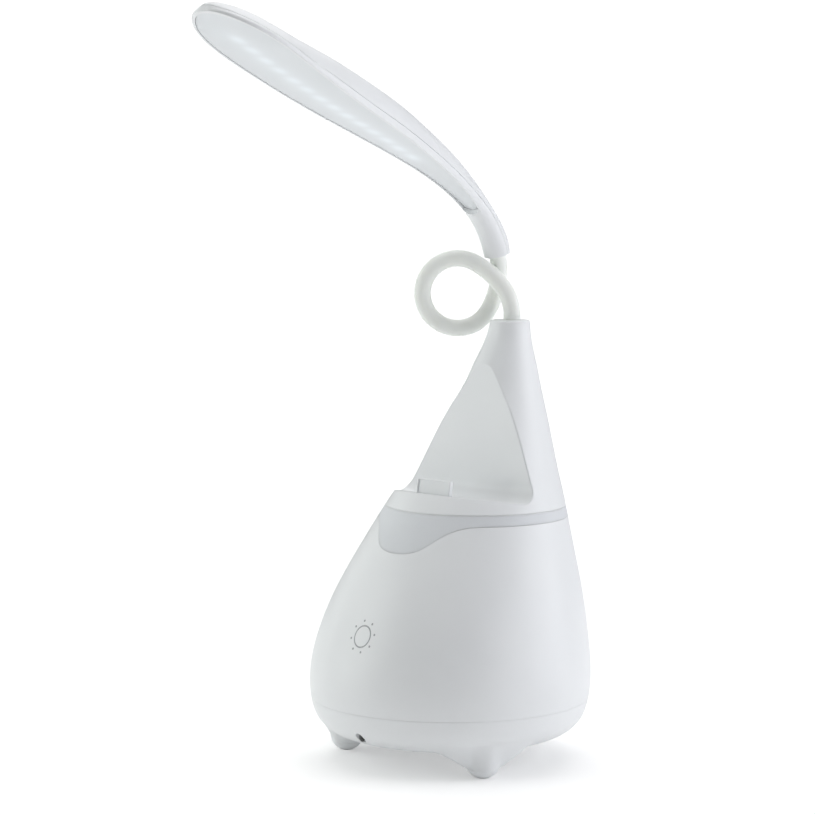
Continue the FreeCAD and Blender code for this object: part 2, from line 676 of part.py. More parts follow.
def make_upper_housing():
    above = common("housing_form", rounded_form(),
                   slab("housing_slab", "band_top + band_gap", "top_height + overrun"))
    hollow = cut("housing_hollow", inner_form,
                 slab("deck_slab", "band_top - belly_height", "band_top + band_gap + deck_thickness"),
                 solid("rest_back", rest_form(size("rest_wall"))))
    shell = cut("housing_shell", above, hollow, solid("rest_room", rest_form(0)))
    posts = []
    for number, angle in enumerate(FEET):
        x, y = deck_post_spot(angle)
        posts.append(cylinder(f"deck_post_{number}", "post_radius", "post_length + band_gap", x, y,
                              "band_top - post_length"))
    body = fuse("housing_body", shell, *posts)
    tools = [
        cylinder("neck_hole", "neck_hole_radius", "cap_thickness + 2 * overrun", y="neck_back",
                 z="top_height - cap_thickness - overrun"),
        cylinder("wire_hole", "deck_hole_radius", "deck_thickness + 4 * overrun",
                 y="deck_back + deck_hole_radius", z="band_top - overrun"),
    ]
    for number, angle in enumerate(FEET):
        x, y = deck_post_spot(angle)
        tools.append(cylinder(f"deck_post_bore_{number}", "boss_hole_radius", "lug_screw_length", x, y,
                              "band_top - post_length - overrun"))
    finish("upper_housing", cut("housing_solid", body, *tools))


def make_housing_screws():
    screws = []
    for number, angle in enumerate(FEET):
        x, y = deck_post_spot(angle)
        screws.append(screw(f"housing_screw_{number}", x, y, "(band_top - post_length - lug_thickness)",
                            "screw_head_radius", "screw_head_height", "screw_radius", "lug_screw_length"))
    finish("housing_screws", group("housing_screw_set", screws))


def make_phone_stop():
    """The tab that keeps the phone from sliding forward, seated on the sloping floor."""
    body = part_body("phone_stop_body")
    outline = level_sketch(body, "stop_outline")
    draw_box(outline, "stop_width", "stop_thickness")
    block_pad = pad(body, outline, "stop_pad", "stop_height")
    doc.recompute()
    most = size("stop_height") - size("stop_round") / 2
    edges = []
    for number, edge in enumerate(body.Shape.Edges, 1):
        box = edge.BoundBox
        if box.ZMin > most or box.ZLength > most:
            edges.append(f"Edge{number}")
    rounds = body.newObject("PartDesign::Fillet", "stop_rounds")
    rounds.Base = (block_pad, edges)
    rounds.setExpression("Radius", formula("stop_round"))
    front = level_sketch(body, "stop_front", "stop_thickness / 2", "XZ_Plane")
    draw_box(front, "stop_width - 2 * stop_panel_margin", "2 * (stop_height - stop_panel_margin)")
    recess = pocket(body, front, "stop_recess", "stop_panel_depth")
    body.Tip = recess
    slope = size("rest_floor_slope")
    body.Placement.Rotation = FreeCAD.Rotation(FreeCAD.Vector(1, 0, 0), -slope)
    place(body, y="stop_y",
          z="rest_floor_height + (rest_floor_y - stop_y) * tan(rest_floor_slope * 1 deg)")
    finish("phone_stop", body)


def make_mood_light():
    under = "band_top + band_gap - board_thickness"
    ring = cylinder("ring_board", "ring_board_radius", "board_thickness", y="deck_back", z=under)
    hole = cylinder("ring_board_hole", "ring_board_hole_radius", "board_thickness + 2 * overrun",
                    y="deck_back", z=f"{under} - overrun")
    finish("mood_light_board", cut("ring_board_solid", ring, hole))
    leds = []
    for number in range(MOOD_LED_COUNT):
        x, y = spot(number * 360 / MOOD_LED_COUNT, "mood_led_circle", "deck_back")
        leds.append(block(f"mood_led_{number}", "mood_led_side", "mood_led_side", "mood_led_height",
                          f"({x})", f"({y})", f"{under} - mood_led_height"))
    finish("mood_leds", group("mood_led_set", leds))


def make_touch_sensor():
    """Electrode and board behind the symbol, standing on two posts of the main shell."""
    def upright(name, thickness, face):
        item = block(name, "touch_board_side", thickness, "touch_board_side",
                     y=f"0 - ({face}) + ({thickness}) / 2", z="touch_height - touch_board_side / 2")
        return item

    board_face = "touch_wall_reach - touch_stand_length"
    finish("touch_board", upright("touch_board_solid", "touch_board_thickness", board_face))
    plate = cylinder("touch_plate_solid", "touch_radius", "touch_plate", y=f"0 - ({board_face})",
                     z="touch_height")
    plate.Placement.Rotation = FreeCAD.Rotation(FreeCAD.Vector(1, 0, 0), 90)
    finish("touch_electrode", plate)


# Neck: a metal fitting held by a nut, a steel hose core and a silicone sleeve bent into one loop

def neck_frame():
    """The foot of the neck and the loop's own directions: across, behind and up."""
    turn = math.radians(size("loop_view_turn"))
    foot = FreeCAD.Vector(0, size("neck_back"), size("top_height"))
    across = FreeCAD.Vector(math.cos(turn), math.sin(turn), 0)
    behind = FreeCAD.Vector(-math.sin(turn), math.cos(turn), 0)
    return foot, across, behind, FreeCAD.Vector(0, 0, 1)


def collar_point():
    """Where the hose enters the head, placed from the neck's foot."""
    foot, across, behind, up = neck_frame()
    return foot + FreeCAD.Vector(size("collar_side"), size("collar_back"), size("collar_rise"))


def pitch_vector(degrees_up):
    """Forward and up, at an angle above the level."""
    turn = math.radians(degrees_up)
    return FreeCAD.Vector(0, -math.cos(turn), math.sin(turn))


def neck_nodes():
    """Points and directions of the neck's middle line, from the housing to the stem."""
    foot, across, behind, up = neck_frame()
    drift = size("loop_drift_share")
    nodes = [(foot + up * size("root_rise"), up)]
    for step in range(LOOP_STEPS + 1):
        turned = size("loop_sweep") * step / LOOP_STEPS
        heading = math.radians(size("loop_entry") + turned)
        arc = size("loop_radius") * math.radians(turned)
        depth = drift * (size("entry_length") + arc)
        point = foot + behind * depth
        point += across * (size("loop_radius") * math.sin(heading) - size("loop_across"))
        point += up * (size("loop_rise") - size("loop_radius") * math.cos(heading))
        direction = across * math.cos(heading) + up * math.sin(heading) + behind * drift
        direction.normalize()
        nodes.append((point, direction))
    nodes.append((collar_point(), pitch_vector(size("collar_pitch"))))
    return nodes


def biarc(start, start_way, end, end_way):
    """Two arcs that leave one point and reach another along given directions."""
    chord = end - start
    ways = start_way + end_way
    square = chord.dot(chord)
    lean = chord.dot(ways)
    facing = 2 * (1 - start_way.dot(end_way))
    reach_out = (-lean + math.sqrt(lean * lean + facing * square)) / facing
    first = start + start_way * reach_out
    last = end - end_way * reach_out
    join = (first + last) * 0.5
    arcs = []
    for here, knee, there in ((start, first, join), (join, last, end)):
        middle = (here + there) * 0.5
        half = (there - here).Length / 2
        rise = (knee - middle).Length
        radius = half * math.sqrt(half * half + rise * rise) / rise
        sag = radius - math.sqrt(radius * radius - half * half)
        arcs.append((here, middle + (knee - middle) * (sag / rise), there, radius))
    return arcs


def neck_arcs():
    nodes = neck_nodes()
    arcs = []
    for (start, start_way), (end, end_way) in zip(nodes, nodes[1:]):
        arcs += biarc(start, start_way, end, end_way)
    return arcs


def tube(edges, direction, radius, bore):
    """A hose swept along joined runs, its ends square to them."""
    path = Part.Wire(edges)
    start = edges[0].Vertexes[0].Point
    shells = []
    for size_here in (radius, bore):
        ring = Part.Wire([Part.Circle(start, direction, size_here).toShape()])
        shells.append(path.makePipeShell([ring], True, False))
    hose = shells[0].cut(shells[1])
    section = math.pi * (radius ** 2 - bore ** 2)
    length = sum(edge.Length for edge in edges)
    print(f"tube of {length:.1f} mm: volume {hose.Volume:.1f}, section times length {section * length:.1f}")
    return hose


def least_gap(points, radius, apart):
    """The least distance between stretches of a tube that lie apart along it."""
    least = None
    for one in range(len(points)):
        for other in range(one + apart, len(points)):
            distance = points[one].distanceToPoint(points[other]) - 2 * radius
            least = distance if least is None else min(least, distance)
    return least


def make_gooseneck():
    foot, across, behind, up = neck_frame()
    arcs = neck_arcs()
    print("neck radii:", ", ".join(f"{arc[3]:.1f}" for arc in arcs))
    edges = [Part.Arc(*arc[:3]).toShape() for arc in arcs]
    end = collar_point()
    way = pitch_vector(size("collar_pitch"))
    seat = end + way * (size("stem_bore_depth") - size("fit_gap"))
    edges.append(Part.LineSegment(end, seat).toShape())
    points = []
    for edge in edges:
        points += edge.discretize(Number=NECK_SAMPLES)[:-1]
    step = points[0].distanceToPoint(points[1])
    apart = int(8 * size("sleeve_radius") / step)
    print(f"least gap of the sleeve to itself: {least_gap(points, size('sleeve_radius'), apart):.2f} mm")
    root_low = foot - up * size("root_depth")
    root_high = foot + up * size("root_rise")
    sleeve = tube(edges, up, size("sleeve_radius"), size("sleeve_bore"))
    finish("gooseneck_sleeve", solid("sleeve_solid", sleeve))
    core_run = Part.LineSegment(root_low + up * size("fitting_flange"), root_high).toShape()
    core = tube([core_run] + edges, up, size("core_radius"), size("core_bore"))
    finish("gooseneck_core", solid("core_solid", core))
    length = "root_rise + root_depth"
    root = cylinder("sleeve_root", "sleeve_radius", length, y="neck_back", z="top_height - root_depth")
    bore = cylinder("sleeve_root_bore", "sleeve_bore", f"{length} + 2 * overrun", y="neck_back",
                    z="top_height - root_depth - overrun")
    finish("gooseneck_root", cut("sleeve_root_solid", root, bore))


def make_neck_fitting():
    """The threaded bush under the housing's cap, on which the hose is crimped, and its nut."""
    under_cap = "(top_height - cap_thickness)"
    flange = cylinder("fitting_flange_disc", "fitting_flange_radius", "fitting_flange", y="neck_back",
                      z=f"{under_cap} - fitting_flange")
    barrel = cylinder("fitting_barrel", "fitting_radius", "fitting_length", y="neck_back",
                      z=f"{under_cap} - fitting_length")
    collar = cylinder("fitting_collar", "fitting_radius", "cap_thickness - root_depth", y="neck_back",
                      z=under_cap)
    bore = cylinder("fitting_bore", "core_bore", "fitting_length + cap_thickness", y="neck_back",
                    z=f"{under_cap} - fitting_length - overrun")
    seat = cylinder("fitting_seat", "core_radius + fit_gap", "cap_thickness", y="neck_back",
                    z="top_height - root_depth")
    blank = fuse("fitting_blank", flange, barrel, collar)
    finish("neck_fitting", cut("neck_fitting_solid", blank, bore, seat))
    body = part_body("neck_nut_body")
    nut_foot = "top_height - cap_thickness - fitting_flange - nut_thickness"
    outline = level_sketch(body, "nut_outline", nut_foot)
    draw_hexagon(outline, "nut_across_flats")
    pad(body, outline, "nut_pad", "nut_thickness")
    hole = level_sketch(body, "nut_hole", "top_height - cap_thickness - fitting_flange")
    draw_circle(hole, "fitting_radius + fit_gap")
    pocket(body, hole, "nut_bore", "nut_thickness + overrun")
    place(body, y="neck_back")
    finish("neck_nut", body)


# Head: a round stem that opens into a leaf-shaped blade with a flat light panel below

def head_runs():
    """The line of the panel's face seen from the side, as arcs: start, pitch, bend and length."""
    pitch = size("collar_pitch")
    point = collar_point() - pitch_vector(pitch + 90) * size("stem_drop")
    runs = []
    for part in ("stem", "brow", "throat", "blade"):
        bend = size(part + "_bend")
        length = size(part + "_length")
        runs.append((point, pitch, bend, length))
        point = arc_end(point, pitch, bend, length)
        pitch -= bend
    return runs


def arc_end(point, pitch, bend, length):
    """Where an arc ends that starts at a pitch and bends down by an angle over its length."""
    turn = math.radians(bend)
    chord = 2 * length / turn * math.sin(turn / 2)
    return point + pitch_vector(pitch - bend / 2) * chord


def head_line(distance):
    """Point and upward normal of the side line at a distance from the collar."""
    runs = head_runs()
    while len(runs) > 1 and distance > runs[0][3]:
        distance -= runs.pop(0)[3]
    start, pitch, bend, length = runs[0]
    if distance == 0:
        return start, pitch_vector(pitch + 90)
    part = bend * distance / length
    return arc_end(start, pitch, part, distance), pitch_vector(pitch - part + 90)


def head_end():
    return sum(run[3] for run in head_runs())


# Stations along the head as shares of its length, with the shape of the section at each one

STATION_SHARES = [0, 0.06, 0.123, 0.228, 0.343, 0.457, 0.571, 0.676, 0.79, 0.868, 0.928, 0.969, 0.992, 0.999]
HALF_WIDTH_SHARES = [0.266, 0.266, 0.275, 0.37, 0.53, 0.7, 0.815, 0.905, 0.985, 0.98, 0.83, 0.58, 0.31, 0.12]
CROWN_SHARES = [0.5, 0.5, 0.5, 0.667, 0.821, 0.95, 1, 0.97, 0.82, 0.71, 0.6, 0.45, 0.3, 0.2]
CREASE_SHARES = [0.392, 0.392, 0.36, 0.387, 0.464, 0.48, 0.42, 0.268, 0.143, 0.13, 0.12, 0.107, 0.095, 0.083]
KEEL_SHARES = [0.238, 0.238, 0.16, 0.054] + [0.03] * 10
LOW_CORNER_SHARES = [0.707, 0.707, 0.8, 0.93, 0.97, 0.98] + [0.985] * 4 + [0.98, 0.98, 0.97, 0.95]
HIGH_CORNER_SHARES = [0.707, 0.707, 0.74, 0.82, 0.88, 0.91, 0.93, 0.94, 0.94, 0.94, 0.93, 0.92, 0.9, 0.88]
KEEL_CORNER_SHARE = 0.545
HOLLOW_FIRST = 3
HOLLOW_LAST = 12
PANEL_FIRST = 2


def head_section(share, half, crown, crease, keel, low_corner, high_corner):
    """One cross-section: keel below, flanks up to the crease, crown above."""
    point, normal = head_line(share * head_end())
    side = FreeCAD.Vector(1, 0, 0)
    low = keel * KEEL_CORNER_SHARE

    def at(x, rise):
        return point + side * x + normal * rise

    left, right = [
        (
            at(sign * half * low_corner, -low),
            at(sign * half, (crease - low) / 2),
            at(sign * half * high_corner, crease),
        )
        for sign in (-1, 1)
    ]
    return Part.Wire([
        Part.Arc(left[0], at(0, -keel), right[0]).toShape(),
        Part.Arc(*right).toShape(),
        Part.Arc(right[2], at(0, crown), left[2]).toShape(),
        Part.Arc(left[2], left[1], left[0]).toShape(),
    ])


def head_form(inset=0, first=0, last=len(STATION_SHARES)):
    """The blade and its stem as one smooth body, moved in by a wall."""
    widest = size("panel_half_width") + size("head_rim")
    tallest = size("crown_height")
    sections = []
    rows = list(zip(STATION_SHARES, HALF_WIDTH_SHARES, CROWN_SHARES, CREASE_SHARES, KEEL_SHARES,
                    LOW_CORNER_SHARES, HIGH_CORNER_SHARES))
    for share, half, crown, crease, keel, low_corner, high_corner in rows[first:last]:
        sections.append(head_section(share, half * widest - inset, crown * tallest - inset,
                                     crease * tallest - inset / 2, keel * tallest, low_corner, high_corner))
    return Part.makeLoft(sections, True, False)


def head_band(low, high):
    """The room between two heights above the side line, right across the head."""
    half = size("panel_half_width") + 2 * size("head_rim")
    beyond = size("stem_radius")

    def line(rise):
        """The side line lifted by a rise, run on past both ends of the head."""
        first, first_normal = head_line(0)
        last, last_normal = head_line(head_end())
        start = first + first_normal * rise
        before = start - pitch_vector(size("collar_pitch")) * beyond
        end = last + last_normal * rise
        after = end + pitch_vector(blade_pitch()) * beyond
        edges = [Part.LineSegment(before, start).toShape()]
        distance = 0
        for point, pitch, bend, length in head_runs():
            stops = [head_line(distance + length * share) for share in (0, 0.5, 1)]
            edges.append(Part.Arc(*[stop[0] + stop[1] * rise for stop in stops]).toShape())
            distance += length
        edges.append(Part.LineSegment(end, after).toShape())
        return edges, before, after

    under, under_start, under_end = line(low)
    over, over_start, over_end = line(high)
    outline = Part.Wire(Part.__sortEdges__(
        under + over + [
            Part.LineSegment(under_start, over_start).toShape(),
            Part.LineSegment(under_end, over_end).toShape(),
        ]))
    face = Part.Face(outline)
    face.translate(FreeCAD.Vector(-half, 0, 0))
    return face.extrude(FreeCAD.Vector(2 * half, 0, 0))


def blade_pitch():
    """The pitch of the side line at the tip."""
    return size("collar_pitch") - sum(run[2] for run in head_runs())


def blade_frame():
    """Where the blade starts, and the direction and normal of its chord."""
    start, pitch, bend, length = head_runs()[-1]
    pitch -= bend / 2
    return start, pitch_vector(pitch), pitch_vector(pitch + 90)


def panel_room(inset):
    """The outline of the light panel, moved in from the blade's edge and run right through the blade."""
    start, way, normal = blade_frame()
    widest = size("panel_half_width") + size("head_rim")
    side = FreeCAD.Vector(1, 0, 0)
    depth = size("crown_height")

    def at(x, distance):
        point = head_line(distance)[0]
        along = (point - start).dot(way)
        return start + side * x + way * along - normal * depth

    rows = list(zip(STATION_SHARES, HALF_WIDTH_SHARES))[PANEL_FIRST:HOLLOW_LAST]
    right = [at(half * widest - inset, share * head_end() + inset) for share, half in rows[:1]]
    right += [at(half * widest - inset, share * head_end()) for share, half in rows[1:-1]]
    tip = at(0, head_end() - inset)
    left = [point - side * (2 * (point.x - start.x)) for point in right]
    edge = Part.BSplineCurve()
    edge.interpolate(right + [tip] + list(reversed(left)))
    end = at(0, STATION_SHARES[PANEL_FIRST] * head_end() - size("head_rim") + inset)
    outline = Part.Wire([edge.toShape(), Part.Arc(left[0], end, right[0]).toShape()])
    return Part.Face(outline).extrude(normal * (3 * depth))


def blade_piece(shape, distance, x=0, rise=0):
    """Set a shape drawn on level axes onto the straight blade."""
    start, way, normal = blade_frame()
    offset = distance - (head_end() - head_runs()[-1][3])
    turn = FreeCAD.Rotation(FreeCAD.Vector(1, 0, 0), way, normal, "ZXY")
    shape.Placement = FreeCAD.Placement(start + way * offset + normal * rise + FreeCAD.Vector(x, 0, 0), turn)
    return shape


def centred_box(width, length, height):
    return Part.makeBox(width, length, height, FreeCAD.Vector(-width / 2, -length / 2, 0))


def led_spots():
    """Distances of the lamps of the strip, from the collar."""
    pitch = size("led_pitch")
    return [size("led_first") + number * pitch for number in range(LED_COUNT)]


def strip_screw_spots():
    """Distances of the strip's screws, each midway between two lamps."""
    pitch = size("led_pitch")
    return [size("led_first") + (number + 1 / 2) * pitch for number in STRIP_SCREW_LAMPS]


def stem_socket():
    """The round socket in the stem that takes the hose."""
    way = pitch_vector(size("collar_pitch"))
    depth = size("stem_bore_depth") + size("overrun")
    return Part.makeCylinder(size("stem_bore"), depth, collar_point() - way * size("overrun"), way)


def make_head_tray(outer):
    """The lower shell with its window, and the light panel seated in it."""
    split = size("head_split")
    deep = 2 * size("stem_radius")
    thickness = size("panel_thickness")
    rim = size("head_rim")
    seat = panel_room(rim).common(head_band(-deep, thickness))
    window = panel_room(rim + size("panel_ledge")).common(head_band(0, split + size("overrun")))
    tray = outer.common(head_band(-deep, split)).cut(seat).cut(window).cut(stem_socket())
    finish("head_tray", solid("head_tray_solid", tray))
    panel = panel_room(rim + size("panel_gap")).common(head_band(0, thickness - size("panel_gap")))
    finish("light_panel", solid("light_panel_solid", panel))


def make_head_cover(outer):
    """The upper shell, hollow over the blade, with the ribbed bosses that hold the light strip."""
    high = 2 * size("crown_height")
    hollow = head_form(size("head_wall"), HOLLOW_FIRST, HOLLOW_LAST)
    inside = head_form(size("head_wall") / 2)
    board_top = size("led_strip_height") + size("led_strip_thickness")
    cover = outer.common(head_band(size("head_split") + size("head_split_gap"), high))
    cover = cover.cut(hollow).cut(stem_socket())
    for distance in strip_screw_spots():
        boss = Part.makeCylinder(size("head_boss_radius"), size("crown_height"))
        rib = centred_box(4 * size("head_boss_radius"), size("head_rib_thickness"), size("crown_height"))
        post = blade_piece(boss, distance, rise=board_top).fuse(blade_piece(rib, distance, rise=board_top))
        pilot = Part.makeCylinder(size("head_screw_radius") + size("head_split_gap"),
                                  size("head_screw_length"))
        cover = cover.fuse(post.common(inside)).cut(blade_piece(pilot, distance, rise=board_top))
    finish("head_cover", solid("head_cover_solid", cover.removeSplitter()))


def make_led_strip():
    """The strip with its lamps below, screwed up against the bosses."""
    low = size("led_strip_height")
    length = size("led_pitch") * LED_COUNT
    middle = size("led_first") + size("led_pitch") * (LED_COUNT - 1) / 2
    strip = centred_box(2 * size("led_strip_half_width"), length, size("led_strip_thickness"))
    strip = blade_piece(strip, middle, rise=low)
    screws = []
    for distance in strip_screw_spots():
        hole = Part.makeCylinder(size("head_screw_radius") + size("head_split_gap"), size("crown_height"))
        strip = strip.cut(blade_piece(hole, distance))
        head = Part.makeCylinder(size("head_screw_head_radius"), size("head_screw_head_height"))
        shank = Part.makeCylinder(size("head_screw_radius"), size("head_screw_length"))
        screws.append(blade_piece(head, distance, rise=low - size("head_screw_head_height")).fuse(
            blade_piece(shank, distance, rise=low)))
    finish("led_strip", solid("led_strip_solid", strip))
    finish("strip_screws", solid("strip_screw_set", Part.makeCompound(screws)))
    side = size("head_led_side")
    leds = []
    for distance in led_spots():
        lamp = centred_box(side, side, size("head_led_height"))
        leds.append(blade_piece(lamp, distance, rise=low - size("head_led_height")))
    finish("head_leds", solid("head_led_set", Part.makeCompound(leds)))


def main():
    make_bottom_shell()
    make_foot_pads()
    make_base_screws()
    make_ballast()
    make_spacers()
    make_main_board()
    make_power_jack()
    band_room = solid("band_room", wave_region())
    make_main_shell(band_room)
    make_light_band(band_room)
    make_upper_housing()
    make_housing_screws()
    make_phone_stop()
    make_mood_light()
    make_touch_sensor()
    make_neck_fitting()
    make_gooseneck()
    head = head_form()
    make_head_tray(head)
    make_head_cover(head)
    make_led_strip()


main()
doc.recompute()
for item in doc.Objects:
    if "Invalid" in item.State or "Error" in item.State:
        raise RuntimeError(f"{item.Name} failed: {item.State}")
total = 0
for label, item in FINISHED.items():
    shape = item.Shape
    if shape.isNull() or not shape.isValid():
        raise RuntimeError(f"{label} has no valid shape")
    shape.exportStep(f"parts/{label}.step")
    facets = len(shape.tessellate(0.1)[1])
    total += facets
    print(f"{label}: {len(shape.Solids)} solids, volume {shape.Volume:.1f}, {facets} facets")
print("facets in all:", total)
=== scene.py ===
import math
import bpy
import bmesh
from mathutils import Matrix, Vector
from mathutils.bvhtree import BVHTree


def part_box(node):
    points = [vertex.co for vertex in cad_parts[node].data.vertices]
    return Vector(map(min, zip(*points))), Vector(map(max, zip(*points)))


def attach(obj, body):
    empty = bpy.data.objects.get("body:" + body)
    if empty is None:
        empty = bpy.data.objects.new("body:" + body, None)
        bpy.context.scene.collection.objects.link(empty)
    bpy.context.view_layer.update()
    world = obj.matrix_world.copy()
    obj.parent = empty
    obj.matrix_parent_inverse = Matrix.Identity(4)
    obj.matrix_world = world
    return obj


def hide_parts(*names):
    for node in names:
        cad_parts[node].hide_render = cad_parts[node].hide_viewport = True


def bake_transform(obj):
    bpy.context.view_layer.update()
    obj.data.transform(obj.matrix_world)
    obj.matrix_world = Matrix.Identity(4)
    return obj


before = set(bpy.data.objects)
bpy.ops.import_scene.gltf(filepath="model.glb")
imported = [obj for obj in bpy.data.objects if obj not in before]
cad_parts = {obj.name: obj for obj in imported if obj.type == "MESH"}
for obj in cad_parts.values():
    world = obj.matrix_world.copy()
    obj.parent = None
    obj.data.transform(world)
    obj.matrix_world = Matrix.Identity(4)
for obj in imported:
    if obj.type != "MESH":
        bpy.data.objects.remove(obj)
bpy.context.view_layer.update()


# Bottom shell: the dished floor of the base with three hollow feet grown out of it.
# Injection-moulded white ABS from a spark-eroded tool; its rim plugs into the main shell
# and one screw goes up through each foot.

def linear(code):
    """An sRGB hex colour as the linear RGBA of a shader socket."""
    channels = [int(code[i:i + 2], 16) / 255 for i in (0, 2, 4)]
    return [c / 12.92 if c <= 0.04045 else ((c + 0.055) / 1.055) ** 2.4 for c in channels] + [1.0]


def add_node(tree, kind, settings=None, inputs=None):
    """Add a node. Each input is a plain value or the socket that feeds it."""
    made = tree.nodes.new(kind)
    for name, value in (settings or {}).items():
        setattr(made, name, value)
    for name, value in (inputs or {}).items():
        if isinstance(value, bpy.types.NodeSocket):
            tree.links.new(value, made.inputs[name])
        else:
            made.inputs[name].default_value = value
    return made


def new_finish(name, code, roughness, **sockets):
    """A material whose plain colour, roughness and other sockets are set on its shader."""
    material = bpy.data.materials.new(name)
    material.use_nodes = True
    tree = material.node_tree
    shader = tree.nodes["Principled BSDF"]
    shader.inputs["Base Color"].default_value = linear(code)
    shader.inputs["Roughness"].default_value = roughness
    for socket, value in sockets.items():
        shader.inputs[socket.replace("_", " ")].default_value = value
    return material, tree, shader


def vary_colour(tree, shader, code_low, code_high, size, detail=2.0):
    """Let the colour drift between two tones in clouds of a real size in metres."""
    place = add_node(tree, "ShaderNodeTexCoord").outputs["Object"]
    cloud = add_node(tree, "ShaderNodeTexNoise", {}, {"Vector": place, "Scale": 1 / size, "Detail": detail})
    mix = add_node(tree, "ShaderNodeMix", {"data_type": "RGBA"}, {"Factor": cloud.outputs["Fac"]})
    mix.inputs["A"].default_value = linear(code_low)
    mix.inputs["B"].default_value = linear(code_high)
    tree.links.new(mix.outputs["Result"], shader.inputs["Base Color"])
    return mix


def vary_roughness(tree, shader, low, high, size):
    """Let the roughness drift between two values in patches of a real size in metres."""
    place = add_node(tree, "ShaderNodeTexCoord").outputs["Object"]
    patch = add_node(tree, "ShaderNodeTexNoise", {}, {"Vector": place, "Scale": 1 / size, "Detail": 3.0})
    span = add_node(tree, "ShaderNodeMapRange", {}, {"Value": patch.outputs["Fac"], "From Min": 0.3,
                                                    "From Max": 0.7, "To Min": low, "To Max": high})
    tree.links.new(span.outputs["Result"], shader.inputs["Roughness"])


def add_grain(tree, shader, size, depth, edge=0.0):
    """A moulded grain of a real size and depth in metres, over edges rounded by a real radius."""
    place = add_node(tree, "ShaderNodeTexCoord").outputs["Object"]
    grain = add_node(tree, "ShaderNodeTexNoise", {}, {"Vector": place, "Scale": 1 / size, "Detail": 2.0,
                                                     "Roughness": 0.6})
    bump = add_node(tree, "ShaderNodeBump", {}, {"Height": grain.outputs["Fac"], "Distance": depth,
                                                 "Strength": 1.0})
    if edge:
        rounded = add_node(tree, "ShaderNodeBevel", {"samples": 4}, {"Radius": edge})
        tree.links.new(rounded.outputs["Normal"], bump.inputs["Normal"])
    tree.links.new(bump.outputs["Normal"], shader.inputs["Normal"])
    return bump


def wear(finish, *names):
    """Give CAD pieces their finish."""
    for name in names:
        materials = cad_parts[name].data.materials
        materials.clear()
        materials.append(finish)


# ABS, satin from a fine spark-eroded tool: soft wide reflections and a faint grain. The real
# grain is about 0.1 mm and is drawn 0.45 mm wide, so that it shows.
SHELL_GRAIN = 0.00045
SHELL_GRAIN_DEPTH = 0.000006
SHELL_CLOUD = 0.035
SHELL_PATCH = 0.012
SHELL_EDGE = 0.00015


def white_abs(name, edge):
    """The satin white of every moulding, over edges rounded by a real radius in metres."""
    finish, tree, shader = new_finish(name, "EDEFF1", 0.34, IOR=1.53)
    vary_colour(tree, shader, "EBEDEF", "F0F2F3", SHELL_CLOUD)
    vary_roughness(tree, shader, 0.31, 0.39, SHELL_PATCH)
    add_grain(tree, shader, SHELL_GRAIN, SHELL_GRAIN_DEPTH, edge)
    return finish


satin_abs = white_abs("satin_white_abs", SHELL_EDGE)
wear(satin_abs, "bottom_shell")


# Foot flares: the soft skirts that run from each foot up into the bowl, part of the same ABS
# moulding. The solids have them towards the middle only, and here they go all round each foot,
# also on its outer side, where the bowl curves up. Vectors hold distance from the axis and height.

FOOT_CIRCLE = 0.0492
FOOT_TURNS = [60, 180, 300]
FLARE_SIDES = 72
FLARE_STEPS = 16
FLARE_FOOT = Vector((0.00718, 0.004))
FLARE_SLOPE = Vector((0.866, 0.5))
FLARE_STEEP = Vector((0.22, 1))
FLARE_STEEP_FROM = 0.25
FLARE_STEEP_SPAN = 0.5
FLARE_KNEE = 0.45
FLARE_SHOULDER = 0.3
FLARE_REACH = 0.024
FLARE_REACH_STEP = 0.0001
FLARE_TOP = 0.0168
FLARE_SINK = 0.00006
FLARE_WALL = 0.001
SHARP_CORNER = math.radians(60)


def skin_of(name):
    """The surface of a CAD piece, for finding where a line meets it."""
    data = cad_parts[name].data
    return BVHTree.FromPolygons([v.co for v in data.vertices], [p.vertices for p in data.polygons])


def smooth_piece(name, work, sharp):
    """A piece from a finished bmesh, facing outwards, shaded smooth but for its sharp edges."""
    bmesh.ops.recalc_face_normals(work, faces=work.faces)
    mesh = bpy.data.meshes.new(name)
    work.to_mesh(mesh)
    work.free()
    for face in mesh.polygons:
        face.use_smooth = True
    mesh.set_sharp_from_angle(angle=sharp)
    piece = bpy.data.objects.new(name, mesh)
    bpy.context.scene.collection.objects.link(piece)
    return piece


def close_round(work, rings):
    """Join closed sections that go once round an axis into one closed skin."""
    for one, two in zip(rings, rings[1:] + rings[:1]):
        for k in range(len(one)):
            n = (k + 1) % len(one)
            work.faces.new((one[k], two[k], two[n], one[n]))


bowl_skin = skin_of("bottom_shell")


def under_bowl(axis, way, reach):
    """Height of the bowl's underside at a distance from a foot's axis, or nothing beyond its edge."""
    place = axis + way * reach
    met, _, _, _ = bowl_skin.ray_cast(Vector((place.x, place.y, -0.01)), Vector((0, 0, 1)))
    return met.z if met else None


